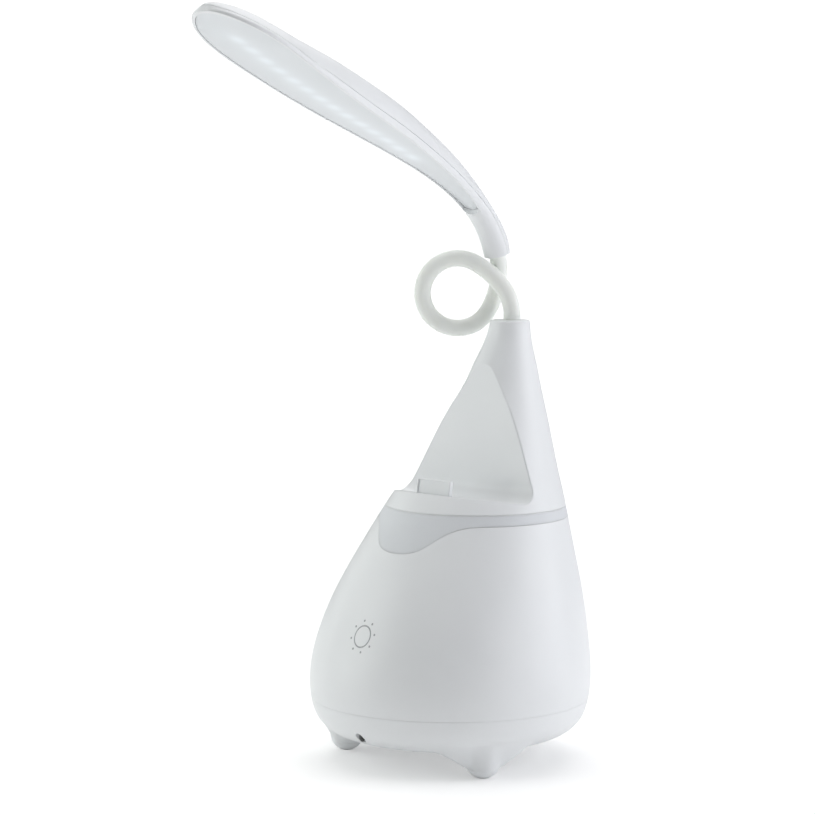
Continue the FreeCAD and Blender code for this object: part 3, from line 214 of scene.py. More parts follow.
def flare_profile(axis, way):
    """Distance and height along one side of a flare: up the foot, out to the bowl, back inside it."""
    outward = (axis.normalized().dot(way) - FLARE_STEEP_FROM) / FLARE_STEEP_SPAN
    outward = min(max(outward, 0.0), 1.0)
    steepness = outward * outward * (3 - 2 * outward)
    reach = FLARE_REACH
    while (under_bowl(axis, way, reach) or 1.0) > FLARE_TOP:
        reach -= FLARE_REACH_STEP
    end = Vector((reach, under_bowl(axis, way, reach) + FLARE_SINK))
    beyond = Vector((reach + FLARE_WALL, under_bowl(axis, way, reach + FLARE_WALL) + FLARE_SINK))
    rise = FLARE_SLOPE.lerp(FLARE_STEEP, steepness).normalized()
    knee = FLARE_FOOT + rise * (end - FLARE_FOOT).length * FLARE_KNEE
    shoulder = end - (beyond - end).normalized() * (end.x - FLARE_FOOT.x) * FLARE_SHOULDER
    curve = []
    for step in range(FLARE_STEPS + 1):
        t = step / FLARE_STEPS
        near = FLARE_FOOT * (1 - t) ** 3 + knee * 3 * t * (1 - t) ** 2
        curve.append(near + shoulder * 3 * t ** 2 * (1 - t) + end * t ** 3)
    return curve + [end + Vector((-FLARE_WALL, FLARE_WALL)), FLARE_FOOT - Vector((FLARE_WALL, 0))]


work = bmesh.new()
for foot_turn in FOOT_TURNS:
    turn = math.radians(foot_turn)
    axis = Vector((math.sin(turn), -math.cos(turn), 0)) * FOOT_CIRCLE
    rings = []
    for side in range(FLARE_SIDES):
        angle = 2 * math.pi * side / FLARE_SIDES
        way = Vector((math.cos(angle), math.sin(angle), 0))
        profile = flare_profile(axis, way)
        rings.append([work.verts.new(axis + way * r + Vector((0, 0, z))) for r, z in profile])
    close_round(work, rings)
foot_flares = smooth_piece("foot_flares", work, SHARP_CORNER)
foot_flares.data.materials.append(satin_abs)
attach(foot_flares, "base")


# Seam rings: the two level joints round the base are no more than faint lines, as the mouldings
# meet on a tongue of the same ABS just under the surface. A narrow ring stands for it, between
# the two shells and above the light band.

SEAM_SIDES = 256
SEAM_DEPTH = 0.00011
SEAM_WALL = 0.0005
SEAM_HALF = 0.0003
SHELL_SEAM = (0.0, 0.0284, 0.0643)
BAND_SEAM = (0.01765, 0.1152, 0.0421)

work = bmesh.new()
for seam_back, seam_height, seam_radius in (SHELL_SEAM, BAND_SEAM):
    outer = seam_radius - SEAM_DEPTH
    inner = outer - SEAM_WALL
    section = [(outer, -SEAM_HALF), (outer, SEAM_HALF), (inner, SEAM_HALF), (inner, -SEAM_HALF)]
    rings = []
    for side in range(SEAM_SIDES):
        angle = 2 * math.pi * side / SEAM_SIDES
        along, across = math.cos(angle), math.sin(angle)
        rings.append([work.verts.new((r * along, seam_back + r * across, seam_height + z))
                      for r, z in section])
    close_round(work, rings)
seam_rings = smooth_piece("seam_rings", work, SHARP_CORNER)
seam_rings.data.materials.append(satin_abs)
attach(seam_rings, "base")


# Foot pads: three discs of pale grey rubber pressed into the soles of the feet, where they
# keep the lamp from sliding and hide the screws. Die-cut sheet with a fine pebble.

pad_rubber, tree, shader = new_finish("pale_pad_rubber", "B9BBBC", 0.75, IOR=1.52)
vary_colour(tree, shader, "B2B4B5", "C0C2C3", 0.002)
add_grain(tree, shader, 0.0004, 0.00004)
wear(pad_rubber, "foot_pads")


# Screws: zinc-plated steel with a cross recess, up through the feet, down through the board,
# up into the upper housing's posts and under the light strip. Plating leaves small bright crystals.

zinc_steel, tree, shader = new_finish("zinc_plated_steel", "B4B7BB", 0.35, Metallic=1.0)
vary_colour(tree, shader, "A5A9AE", "C3C6C9", 0.0012)
vary_roughness(tree, shader, 0.28, 0.46, 0.0006)
add_grain(tree, shader, 0.0003, 0.000008)
wear(zinc_steel, "base_screws", "board_screws", "housing_screws", "strip_screws")


# Power inlet: a barrel socket of grey PBT whose nose stands in the round hole at the front,
# with a nickel-plated pin down its middle. Its moulded grey drifts a little in tone.

INLET_PIN_RADIUS = 0.0006
inlet_low, inlet_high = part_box("power_jack")
inlet_axis = ((inlet_low.x + inlet_high.x) / 2, 0.0, (inlet_low.z + inlet_high.z) / 2)

socket_grey, tree, shader = new_finish("grey_socket_pbt", "A4A5A6", 0.42, IOR=1.55)
place = add_node(tree, "ShaderNodeTexCoord").outputs["Object"]
from_axis = add_node(tree, "ShaderNodeVectorMath", {"operation": "SUBTRACT"}, {0: place, 1: inlet_axis})
sideways = add_node(tree, "ShaderNodeVectorMath", {"operation": "MULTIPLY"},
                    {0: from_axis.outputs["Vector"], 1: (1.0, 0.0, 1.0)})
off_axis = add_node(tree, "ShaderNodeVectorMath", {"operation": "LENGTH"}, {0: sideways.outputs["Vector"]})
is_pin = add_node(tree, "ShaderNodeMath", {"operation": "LESS_THAN"},
                  {0: off_axis.outputs["Value"], 1: INLET_PIN_RADIUS})
grey_cloud = vary_colour(tree, shader, "9C9D9E", "ACADAE", 0.003)
pin_mix = add_node(tree, "ShaderNodeMix", {"data_type": "RGBA"}, {"Factor": is_pin.outputs["Value"]})
tree.links.new(grey_cloud.outputs["Result"], pin_mix.inputs["A"])
pin_mix.inputs["B"].default_value = linear("C9C6BE")
tree.links.new(pin_mix.outputs["Result"], shader.inputs["Base Color"])
tree.links.new(is_pin.outputs["Value"], shader.inputs["Metallic"])
add_grain(tree, shader, 0.0004, 0.00001)
wear(socket_grey, "power_jack")


# Ballast plate: a disc of bare cast iron on the floor of the base, which keeps the lamp
# upright with its head turned out. Sand-cast, so its skin is dark and pitted.

cast_iron, tree, shader = new_finish("bare_cast_iron", "55565A", 0.62, Metallic=1.0)
vary_colour(tree, shader, "46474A", "67686C", 0.006, 4.0)
vary_roughness(tree, shader, 0.52, 0.78, 0.003)
add_grain(tree, shader, 0.0012, 0.00012)
wear(cast_iron, "ballast_plate")


# Main board: glass-epoxy laminate under a green solder mask with copper runs beneath it,
# on four nylon spacers. It holds the driver chip and the coil, and is fed by the power inlet.

def add_tracks(tree, shader, mask_code, track_code, pitch, width, flat=(1.0, 1.0, 0.0)):
    """Copper runs under a solder mask: a grid of lines of a real pitch and width in metres."""
    place = add_node(tree, "ShaderNodeTexCoord").outputs["Object"]
    level = add_node(tree, "ShaderNodeVectorMath", {"operation": "MULTIPLY"}, {0: place, 1: flat})
    runs = add_node(tree, "ShaderNodeTexBrick", {"offset": 0.5, "squash": 1.0},
                    {"Vector": level.outputs["Vector"], "Scale": 1.0, "Mortar Size": width / 2,
                     "Brick Width": 3 * pitch, "Row Height": pitch, "Mortar Smooth": 0.2})
    mix = add_node(tree, "ShaderNodeMix", {"data_type": "RGBA"}, {"Factor": runs.outputs["Fac"]})
    mix.inputs["A"].default_value = linear(mask_code)
    mix.inputs["B"].default_value = linear(track_code)
    tree.links.new(mix.outputs["Result"], shader.inputs["Base Color"])
    bump = add_node(tree, "ShaderNodeBump", {}, {"Height": runs.outputs["Fac"], "Distance": 0.00004,
                                                 "Strength": 1.0})
    tree.links.new(bump.outputs["Normal"], shader.inputs["Normal"])


green_board, tree, shader = new_finish("green_solder_mask", "1E6B3C", 0.3, IOR=1.55)
add_tracks(tree, shader, "1B5F36", "2F8A52", 0.0021, 0.0004)
wear(green_board, "main_board", "touch_board")

spacer_nylon, tree, shader = new_finish("natural_nylon", "DCD9CC", 0.5, IOR=1.53)
shader.inputs["Subsurface Weight"].default_value = 0.15
shader.inputs["Subsurface Scale"].default_value = 0.002
vary_colour(tree, shader, "D6D3C4", "E2E0D5", 0.004)
add_grain(tree, shader, 0.0006, 0.00001)
wear(spacer_nylon, "board_spacers")

chip_epoxy, tree, shader = new_finish("black_chip_epoxy", "26272A", 0.5, IOR=1.55)
vary_colour(tree, shader, "202124", "303236", 0.0008)
add_grain(tree, shader, 0.0003, 0.000012)
wear(chip_epoxy, "board_components")


# Main shell: the large drop-shaped body, one ABS moulding with a wavy upper edge under the
# light band, in the same satin white as the bottom shell.

wear(satin_abs, "main_shell")


# Touch key: a brightness mark printed in grey on the shell, a ring with eight dots round it,
# over a copper electrode on its own small board. The pad-printed ink is 0.04 mm thick.

MARK_HEIGHT = 0.0629
MARK_RING_RADIUS = 0.0046
MARK_RING_LINE = 0.00058
MARK_DOT_CIRCLE = 0.00675
MARK_DOT_RADIUS = 0.0005
MARK_INK = 0.00004
MARK_DOTS = 8
MARK_FIRST_DOT = math.radians(12)
MARK_RING_SIDES = 96
MARK_DOT_SIDES = 20


def mark_tree():
    """Ring and dots in one plane, with their sizes as inputs, laid out round Y."""
    group = bpy.data.node_groups.new("brightness_mark", "GeometryNodeTree")
    face = group.interface
    face.new_socket("Geometry", in_out="OUTPUT", socket_type="NodeSocketGeometry")
    for label, value in (("Ring radius", MARK_RING_RADIUS), ("Line width", MARK_RING_LINE),
                         ("Dot circle", MARK_DOT_CIRCLE), ("Dot radius", MARK_DOT_RADIUS),
                         ("First dot angle", MARK_FIRST_DOT)):
        face.new_socket(label, in_out="INPUT", socket_type="NodeSocketFloat").default_value = value
    face.new_socket("Dots", in_out="INPUT", socket_type="NodeSocketInt").default_value = MARK_DOTS
    face.new_socket("Ink", in_out="INPUT", socket_type="NodeSocketMaterial")
    given = add_node(group, "NodeGroupInput").outputs
    half = add_node(group, "ShaderNodeMath", {"operation": "DIVIDE"}, {0: given["Line width"], 1: 2.0})
    inner = add_node(group, "ShaderNodeMath", {"operation": "SUBTRACT"},
                     {0: given["Ring radius"], 1: half.outputs[0]})
    path = add_node(group, "GeometryNodeCurvePrimitiveCircle", {"mode": "RADIUS"},
                    {"Resolution": MARK_RING_SIDES, "Radius": inner.outputs[0]})
    line = add_node(group, "GeometryNodeCurvePrimitiveLine", {"mode": "DIRECTION"},
                    {"Direction": (1.0, 0.0, 0.0), "Length": given["Line width"]})
    strip = add_node(group, "GeometryNodeResampleCurve", {"mode": "COUNT"},
                     {"Curve": line.outputs["Curve"], "Count": 3})
    ring = add_node(group, "GeometryNodeCurveToMesh", {}, {"Curve": path.outputs["Curve"],
                                                          "Profile Curve": strip.outputs["Curve"]})
    seats = add_node(group, "GeometryNodeCurvePrimitiveCircle", {"mode": "RADIUS"},
                     {"Resolution": given["Dots"], "Radius": given["Dot circle"]})
    seat_points = add_node(group, "GeometryNodeCurveToPoints", {"mode": "EVALUATED"},
                           {"Curve": seats.outputs["Curve"]})
    dot = add_node(group, "GeometryNodeMeshCircle", {"fill_type": "TRIANGLE_FAN"},
                   {"Vertices": MARK_DOT_SIDES, "Radius": given["Dot radius"]})
    dots = add_node(group, "GeometryNodeInstanceOnPoints", {}, {"Points": seat_points.outputs["Points"],
                                                               "Instance": dot.outputs["Mesh"]})
    angle = add_node(group, "ShaderNodeCombineXYZ", {}, {"Z": given["First dot angle"]})
    turned = add_node(group, "GeometryNodeTransform", {}, {"Geometry": dots.outputs["Instances"],
                                                          "Rotation": angle.outputs["Vector"]})
    joined = add_node(group, "GeometryNodeJoinGeometry")
    group.links.new(ring.outputs["Mesh"], joined.inputs["Geometry"])
    group.links.new(turned.outputs["Geometry"], joined.inputs["Geometry"])
    upright = add_node(group, "GeometryNodeTransform", {}, {"Geometry": joined.outputs["Geometry"],
                                                           "Translation": (0.0, 0.0, MARK_HEIGHT),
                                                           "Rotation": (math.radians(90), 0.0, 0.0)})
    real = add_node(group, "GeometryNodeRealizeInstances", {}, {"Geometry": upright.outputs["Geometry"]})
    inked = add_node(group, "GeometryNodeSetMaterial", {}, {"Geometry": real.outputs["Geometry"],
                                                           "Material": given["Ink"]})
    add_node(group, "NodeGroupOutput", {}, {"Geometry": inked.outputs["Geometry"]})
    return group


def grown_mesh(name, tree, finish_input, finish):
    """The plain mesh that a node tree makes, as an object with no modifier."""
    seed = bpy.data.objects.new(name + "_seed", bpy.data.meshes.new(name + "_seed"))
    bpy.context.scene.collection.objects.link(seed)
    grower = seed.modifiers.new("grow", "NODES")
    grower.node_group = tree
    for item in tree.interface.items_tree:
        if item.in_out == "INPUT" and item.name == finish_input:
            grower[item.identifier] = finish
    view = bpy.context.evaluated_depsgraph_get()
    mesh = bpy.data.meshes.new_from_object(seed.evaluated_get(view), depsgraph=view)
    bpy.data.objects.remove(seed)
    piece = bpy.data.objects.new(name, mesh)
    bpy.context.scene.collection.objects.link(piece)
    return piece


grey_ink, tree, shader = new_finish("grey_pad_print_ink", "A9ABAE", 0.55, IOR=1.5)
vary_colour(tree, shader, "A2A4A7", "B1B3B6", 0.0007)
add_grain(tree, shader, 0.00025, 0.000004)

touch_mark = grown_mesh("touch_mark", mark_tree(), "Ink", grey_ink)
shell_skin = skin_of("main_shell")
work = bmesh.new()
work.from_mesh(touch_mark.data)
bmesh.ops.remove_doubles(work, verts=work.verts, dist=1e-7)
for vert in work.verts:
    in_front = Vector((vert.co.x, -1.0, vert.co.z))
    on_skin, _, _, _ = shell_skin.ray_cast(in_front, Vector((0, 1, 0)))
    vert.co = on_skin + Vector((0, -MARK_INK / 4, 0))
raised = bmesh.ops.extrude_face_region(work, geom=list(work.faces))
for item in raised["geom"]:
    if isinstance(item, bmesh.types.BMVert):
        item.co.y -= MARK_INK
bmesh.ops.recalc_face_normals(work, faces=work.faces)
work.to_mesh(touch_mark.data)
work.free()
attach(touch_mark, "base")

copper_foil, tree, shader = new_finish("copper_electrode_foil", "C98F5F", 0.32, Metallic=1.0)
vary_colour(tree, shader, "BD8355", "D39C6C", 0.0015)
vary_roughness(tree, shader, 0.25, 0.42, 0.001)
add_grain(tree, shader, 0.0005, 0.00001)
wear(copper_foil, "touch_electrode")


# Mood light band: a frosted ring with a wave at the front, clamped between the main shell
# and the upper housing. Moulded polycarbonate with a diffusing filler, unlit in the photograph,
# so it reads as a cooler, slightly deeper white than the shells.

frosted_band, tree, shader = new_finish("frosted_polycarbonate", "DEE1E5", 0.48, IOR=1.585)
shader.inputs["Subsurface Weight"].default_value = 0.5
shader.inputs["Subsurface Radius"].default_value = (1.0, 1.0, 1.0)
shader.inputs["Subsurface Scale"].default_value = 0.0025
vary_colour(tree, shader, "DCDFE3", "E1E4E7", 0.02)
vary_roughness(tree, shader, 0.44, 0.54, 0.006)
add_grain(tree, shader, 0.0006, 0.000008, 0.0001)
wear(frosted_band, "light_band")


# Mood light ring: a small round board under the upper housing with eight diodes that shine down
# into the band. White solder mask, and lenses of yellow phosphor in clear silicone.

white_board, tree, shader = new_finish("white_solder_mask", "E6E8E8", 0.35, IOR=1.55)
add_tracks(tree, shader, "E4E6E6", "EFF0F0", 0.0024, 0.0005)
wear(white_board, "mood_light_board", "led_strip")

phosphor, tree, shader = new_finish("yellow_phosphor_lens", "F0DE7A", 0.25, IOR=1.41)
vary_colour(tree, shader, "EAD66A", "F5E791", 0.0008)
add_grain(tree, shader, 0.0003, 0.000006)
wear(phosphor, "mood_leds")


# Upper housing and phone rest: the cone above the band, with the cove and back wall that a
# phone leans on. One ABS moulding; the small stop on its floor is a second one, pressed in.

RIM_EDGE = 0.0011

rounded_abs = white_abs("satin_white_abs_rounded", RIM_EDGE)
wear(rounded_abs, "upper_housing")
wear(satin_abs, "phone_stop")


# Neck foot: a nickel-plated brass bush held by a nut under the cone's tip, and the silicone
# root of the gooseneck that turns with it.

plated_brass, tree, shader = new_finish("nickel_plated_brass", "B9B6AE", 0.28, Metallic=1.0)
vary_colour(tree, shader, "AEABA2", "C4C1B9", 0.002)
vary_roughness(tree, shader, 0.22, 0.36, 0.001)
add_grain(tree, shader, 0.0004, 0.000006)
wear(plated_brass, "neck_fitting", "neck_nut")

# Silicone rubber, extruded: matt and slightly greenish off-white, a little light goes in, and
# fine dust clings to it.
silicone, tree, shader = new_finish("off_white_silicone", "F4F7F2", 0.52, IOR=1.43)
shader.inputs["Subsurface Weight"].default_value = 0.25
shader.inputs["Subsurface Radius"].default_value = (1.0, 1.0, 0.9)
shader.inputs["Subsurface Scale"].default_value = 0.0015
shader.inputs["Sheen Weight"].default_value = 0.12
shader.inputs["Sheen Roughness"].default_value = 0.5
vary_colour(tree, shader, "F2F5EF", "F7FAF5", 0.005)
vary_roughness(tree, shader, 0.46, 0.6, 0.002)
add_grain(tree, shader, 0.0005, 0.00001)
wear(silicone, "gooseneck_root")


# Gooseneck: a silicone sleeve over a wound steel hose, bent by hand into one loop between the
# cone and the head. It bends near the cone when it leans and near the head when that tilts, so
# sleeve and hose are each two stretches that meet at the bottom of the loop.

NECK_FOOT = Vector((0.0, 0.043, 0.2))
NECK_ROOT_RISE = 0.002
LOOP_TURN = math.radians(42)
LOOP_RADIUS = 0.0166
LOOP_ACROSS = 0.0255
LOOP_RISE = 0.012
LOOP_ENTRY = math.radians(150)
LOOP_SWEEP = math.radians(270)
LOOP_STEPS = 6
LOOP_FOOT_STATION = 5
LOOP_DRIFT_SHARE = 0.1
ENTRY_LENGTH = 0.0315
COLLAR = Vector((-0.0105, 0.0443, 0.2303))
COLLAR_PITCH = math.radians(73)
STEM_SEAT = 0.0087
SLEEVE_RADIUS = 0.004
SLEEVE_BORE = 0.0028
HOSE_RADIUS = 0.0025
HOSE_BORE = 0.0012
HOSE_FOOT = 0.1926
HOSE_FOOT_STEPS = 12
HOSE_WINDING = 0.0021
HOSE_GROOVE = 0.0003
POINT_GAP = 0.0007
SLEEVE_SIDES = 48
HOSE_SIDES = 24
TUBE_CORNER = math.radians(50)


def loop_stations():
    """Points and directions of the neck's middle line, from the cone to the head's stem."""
    across = Vector((math.cos(LOOP_TURN), math.sin(LOOP_TURN), 0))
    behind = Vector((-math.sin(LOOP_TURN), math.cos(LOOP_TURN), 0))
    up = Vector((0, 0, 1))
    stations = [(NECK_FOOT + up * NECK_ROOT_RISE, up)]
    for step in range(LOOP_STEPS + 1):
        turned = LOOP_SWEEP * step / LOOP_STEPS
        heading = LOOP_ENTRY + turned
        point = NECK_FOOT + behind * LOOP_DRIFT_SHARE * (ENTRY_LENGTH + LOOP_RADIUS * turned)
        point += across * (LOOP_RADIUS * math.sin(heading) - LOOP_ACROSS)
        point += up * (LOOP_RISE - LOOP_RADIUS * math.cos(heading))
        way = across * math.cos(heading) + up * math.sin(heading) + behind * LOOP_DRIFT_SHARE
        stations.append((point, way.normalized()))
    stations.append((COLLAR, Vector((0, -math.cos(COLLAR_PITCH), math.sin(COLLAR_PITCH)))))
    return stations


def arc_points(start, knee, end, gap):
    """Evenly spaced points on the arc that touches both legs of a corner, without its end."""
    half = (end - start).length / 2
    rise = (knee - (start + end) / 2).length
    if rise < 1e-9:
        count = max(2, math.ceil(2 * half / gap))
        return [start.lerp(end, i / count) for i in range(count)]
    radius = half * math.hypot(half, rise) / rise
    inward = ((start + end) / 2 - knee).normalized()
    centre = knee + inward * math.hypot(math.hypot(half, rise), radius)
    angle = 2 * math.asin(min(1.0, half / radius))
    first = (start - centre).normalized()
    across = (end - centre).normalized()
    count = max(2, math.ceil(radius * angle / gap))
    points = []
    for i in range(count):
        done = angle * i / count
        spoke = first * math.sin(angle - done) + across * math.sin(done)
        points.append(centre + spoke * (radius / math.sin(angle)))
    return points


def neck_line(gap):
    """The neck's middle line as close points, two arcs between each pair of stations, and the
    number of the point at the bottom of the loop."""
    line, loop_foot = [], 0
    stations = loop_stations()
    for number, ((here, here_way), (there, there_way)) in enumerate(zip(stations, stations[1:])):
        chord = there - here
        lean = chord.dot(here_way + there_way)
        facing = 2 * (1 - here_way.dot(there_way))
        reach = (-lean + math.sqrt(lean * lean + facing * chord.length_squared)) / facing
        first, last = here + here_way * reach, there - there_way * reach
        join = (first + last) / 2
        if number == LOOP_FOOT_STATION:
            loop_foot = len(line)
        line += arc_points(here, first, join, gap) + arc_points(join, last, there, gap)
    end, way = stations[-1]
    count = math.ceil(STEM_SEAT / gap)
    line += [end + way * STEM_SEAT * i / count for i in range(count + 1)]
    return line, loop_foot


def tube_mesh(name, line, radius, bore, sides, rib_pitch=0.0, rib_depth=0.0):
    """A closed tube along points, its rings carried along without twist, ribbed if asked."""
    work = bmesh.new()
    way = (line[1] - line[0]).normalized()
    aside = way.orthogonal().normalized()
    outer, inner, run = [], [], 0.0
    for number, point in enumerate(line):
        ahead = (line[min(number + 1, len(line) - 1)] - line[max(number - 1, 0)]).normalized()
        aside = (aside - ahead * aside.dot(ahead)).normalized()
        other = ahead.cross(aside)
        run += (point - line[number - 1]).length if number else 0.0
        out = radius
        if rib_pitch:
            out -= rib_depth * (0.5 + 0.5 * math.cos(2 * math.pi * run / rib_pitch))
        turns = [2 * math.pi * s / sides for s in range(sides)]
        spokes = [aside * math.cos(turn) + other * math.sin(turn) for turn in turns]
        outer.append([work.verts.new(point + out * spoke) for spoke in spokes])
        inner.append([work.verts.new(point + bore * spoke) for spoke in spokes])
    for one, two in zip(range(len(line) - 1), range(1, len(line))):
        for s in range(sides):
            t = (s + 1) % sides
            work.faces.new((outer[one][s], outer[one][t], outer[two][t], outer[two][s]))
            work.faces.new((inner[one][s], inner[two][s], inner[two][t], inner[one][t]))
    for s in range(sides):
        t = (s + 1) % sides
        work.faces.new((outer[0][s], inner[0][s], inner[0][t], outer[0][t]))
        work.faces.new((outer[-1][s], outer[-1][t], inner[-1][t], inner[-1][s]))
    return smooth_piece(name, work, TUBE_CORNER)


NECK_LEAN_ENDS = ((0.0, 0.043, 0.203), (-0.0085, 0.0353, 0.214))
HEAD_TILT_ENDS = ((-0.0105, 0.0443, 0.2105), (-0.0105, 0.0443, 0.229))

wound_hose, tree, shader = new_finish("wound_steel_hose", "A6A9AD", 0.4, Metallic=1.0)
vary_colour(tree, shader, "989BA0", "B3B6BA", 0.002)
add_grain(tree, shader, 0.0004, 0.000008)

neck_points, loop_foot = neck_line(POINT_GAP)
hose_end = Vector((NECK_FOOT.x, NECK_FOOT.y, HOSE_FOOT))
hose_points = [hose_end.lerp(neck_points[0], i / HOSE_FOOT_STEPS) for i in range(HOSE_FOOT_STEPS)]
low_points, high_points = neck_points[:loop_foot + 1], neck_points[loop_foot:]
for part, points, bodies, ends in (("low", low_points, ("neck_root", "neck_loop"), NECK_LEAN_ENDS),
                                   ("high", high_points, ("neck_loop", "head"), HEAD_TILT_ENDS)):
    sleeve = tube_mesh(f"silicone_sleeve_{part}", points, SLEEVE_RADIUS, SLEEVE_BORE, SLEEVE_SIDES)
    hose_run = hose_points + points if part == "low" else points
    hose = tube_mesh(f"wound_hose_{part}", hose_run, HOSE_RADIUS, HOSE_BORE, HOSE_SIDES,
                     HOSE_WINDING, HOSE_GROOVE)
    for piece, finish, node_name, slot_name in ((sleeve, silicone, "gooseneck_sleeve", "silicone"),
                                                (hose, wound_hose, "gooseneck_core", "steel")):
        piece.data.materials.append(finish)
        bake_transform(piece)
        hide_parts(node_name)


# Head: a leaf-shaped shell in two mouldings, tray below and cover above, snapped together along
# the rim. The same satin white ABS as the base.

wear(satin_abs, "head_tray", "head_cover")


# Light strip in the head: a narrow white board with fourteen surface-mounted diodes, held by
# three screws inside the cover. The diodes are lit in the photograph, a cool white.

LED_GLOW = 2.0

lit_phosphor, tree, shader = new_finish("lit_phosphor_lens", "F6F2D8", 0.25, IOR=1.41)
vary_colour(tree, shader, "F2EDCB", "FAF7E6", 0.0008)
add_grain(tree, shader, 0.0003, 0.000006)
shader.inputs["Emission Color"].default_value = linear("E8F4FF")
shader.inputs["Emission Strength"].default_value = LED_GLOW
wear(lit_phosphor, "head_leds")


# Light panel: a thin leaf of opal acrylic under the diodes, let into the tray's rim. It spreads
# their light, so each shows as a soft spot that runs into its neighbours, in a straight row under
# the strip from its stem end to the tip.

PANEL_GLOW_START = Vector((-0.012, -0.0119, 0.2785))
PANEL_GLOW_END = Vector((-0.012, -0.1185, 0.3306))
LED_COUNT = 14
SPOT_RADIUS = 0.0026
STRIP_RADIUS = 0.0058
SPOT_LIGHT = 0.1
STRIP_LIGHT = 0.05

opal_acrylic, tree, shader = new_finish("opal_acrylic", "E4E8EB", 0.4, IOR=1.49)
shader.inputs["Subsurface Weight"].default_value = 0.3
shader.inputs["Subsurface Radius"].default_value = (1.0, 1.0, 1.0)
shader.inputs["Subsurface Scale"].default_value = 0.002
vary_colour(tree, shader, "E2E6E9", "E8EBEE", 0.02)
add_grain(tree, shader, 0.0008, 0.000006, 0.0002)
shader.inputs["Emission Color"].default_value = linear("EAF6FF")


def maths(operation, one, two=0.0, three=0.0):
    """The socket of one sum in the panel's glow."""
    return add_node(tree, "ShaderNodeMath", {"operation": operation}, {0: one, 1: two, 2: three}).outputs[0]


row = PANEL_GLOW_END - PANEL_GLOW_START
pitch = row.length / (LED_COUNT - 1)
place = add_node(tree, "ShaderNodeTexCoord").outputs["Object"]
offset = add_node(tree, "ShaderNodeVectorMath", {"operation": "SUBTRACT"},
                  {0: place, 1: PANEL_GLOW_START}).outputs["Vector"]
along = add_node(tree, "ShaderNodeVectorMath", {"operation": "DOT_PRODUCT"},
                 {0: offset, 1: row.normalized()}).outputs["Value"]
aside = add_node(tree, "ShaderNodeSeparateXYZ", {}, {0: offset}).outputs["X"]
counted = maths("ROUND", maths("DIVIDE", along, pitch))
nearest = maths("MINIMUM", maths("MAXIMUM", counted, 0.0), LED_COUNT - 1.0)
past = maths("SUBTRACT", along, maths("MULTIPLY", nearest, pitch))
aside_squared = maths("MULTIPLY", aside, aside)
spot_reach = maths("MULTIPLY_ADD", past, past, aside_squared)
spot = maths("EXPONENT", maths("DIVIDE", spot_reach, -2 * SPOT_RADIUS ** 2))
inside = maths("MINIMUM", maths("MAXIMUM", along, 0.0), row.length)
beyond = maths("SUBTRACT", along, inside)
strip_reach = maths("MULTIPLY_ADD", beyond, beyond, aside_squared)
strip = maths("EXPONENT", maths("DIVIDE", strip_reach, -2 * STRIP_RADIUS ** 2))
glow = maths("MULTIPLY_ADD", spot, SPOT_LIGHT, maths("MULTIPLY", strip, STRIP_LIGHT))
tree.links.new(glow, shader.inputs["Emission Strength"])
wear(opal_acrylic, "light_panel")


# Table: a plain white sweep that the lamp stands on, matt and without an edge in view. Besides the
# light from behind, it has a painted glow of its own that only the camera sees. The glow is weak near
# the lamp, where it lifts the soft shadow, and stronger further back, so that the table runs into
# the white of the room. A fainter glow that lights the lamp from below stands in for light bounced off it.

FLOOR_SIDE = 24.0
FLOOR_FADE_FROM = 0.25
FLOOR_FADE_TO = 1.6
FLOOR_NEAR_GLOW = 0.265
FLOOR_FAR_GLOW = 1.0
FLOOR_BOUNCE_GLOW = 0.1

pale_table, tree, shader = new_finish("matt_pale_table", "F4F4F4", 0.9)
vary_colour(tree, shader, "F3F3F3", "F6F6F6", 0.2)
add_grain(tree, shader, 0.0015, 0.00002)
# Painted glow: camera rays see the table brighter the further it is from the lamp, and all other rays get
# the fainter bounce glow.
place = add_node(tree, "ShaderNodeTexCoord").outputs["Object"]
away = add_node(tree, "ShaderNodeVectorMath", {"operation": "LENGTH"}, {0: place}).outputs["Value"]
fade = add_node(tree, "ShaderNodeMapRange", {"interpolation_type": "SMOOTHSTEP"},
                {"Value": away, "From Min": FLOOR_FADE_FROM, "From Max": FLOOR_FADE_TO,
                 "To Min": FLOOR_NEAR_GLOW, "To Max": FLOOR_FAR_GLOW}).outputs["Result"]
seen = add_node(tree, "ShaderNodeLightPath").outputs["Is Camera Ray"]
table_glow = add_node(tree, "ShaderNodeMapRange", {}, {"Value": seen, "To Min": FLOOR_BOUNCE_GLOW, "To Max": fade})
tree.links.new(table_glow.outputs["Result"], shader.inputs["Emission Strength"])
half = FLOOR_SIDE / 2
corners = [(-half, -half, 0), (half, -half, 0), (half, half, 0), (-half, half, 0)]
floor_mesh = bpy.data.meshes.new("table")
floor_mesh.from_pydata(corners, [], [(0, 1, 2, 3)])
floor_mesh.materials.append(pale_table)
table = bpy.data.objects.new("table", floor_mesh)
bpy.context.scene.collection.objects.link(table)


# Light: tall soft boxes round the lamp, strongest at its right and its left, a wide one overhead
# and a very soft light from high behind, in a pale room that is white behind the lamp. They leave
# the middle of the body darker than its sides.

CAMERA_PLACE = Vector((0.8466, -0.9285, 0.2852))
CAMERA_HEADING = math.radians(43.25)
CAMERA_PITCH = math.radians(5.615)
CAMERA_LENS = 121.46
AIM = Vector((0.0, 0.0, 0.12))
RIGHT = Vector((math.cos(CAMERA_HEADING), math.sin(CAMERA_HEADING), 0))
NEAR = Vector((math.sin(CAMERA_HEADING), -math.cos(CAMERA_HEADING), 0))
UP = Vector((0, 0, 1))
BACK_LIGHT_TILT = math.radians(50)
BACK_LIGHT_SPREAD = math.radians(50)
BACK_LIGHT_STRENGTH = 0.55
ROOM_LIGHT = 0.09
BACKDROP_LIGHT = 1.15


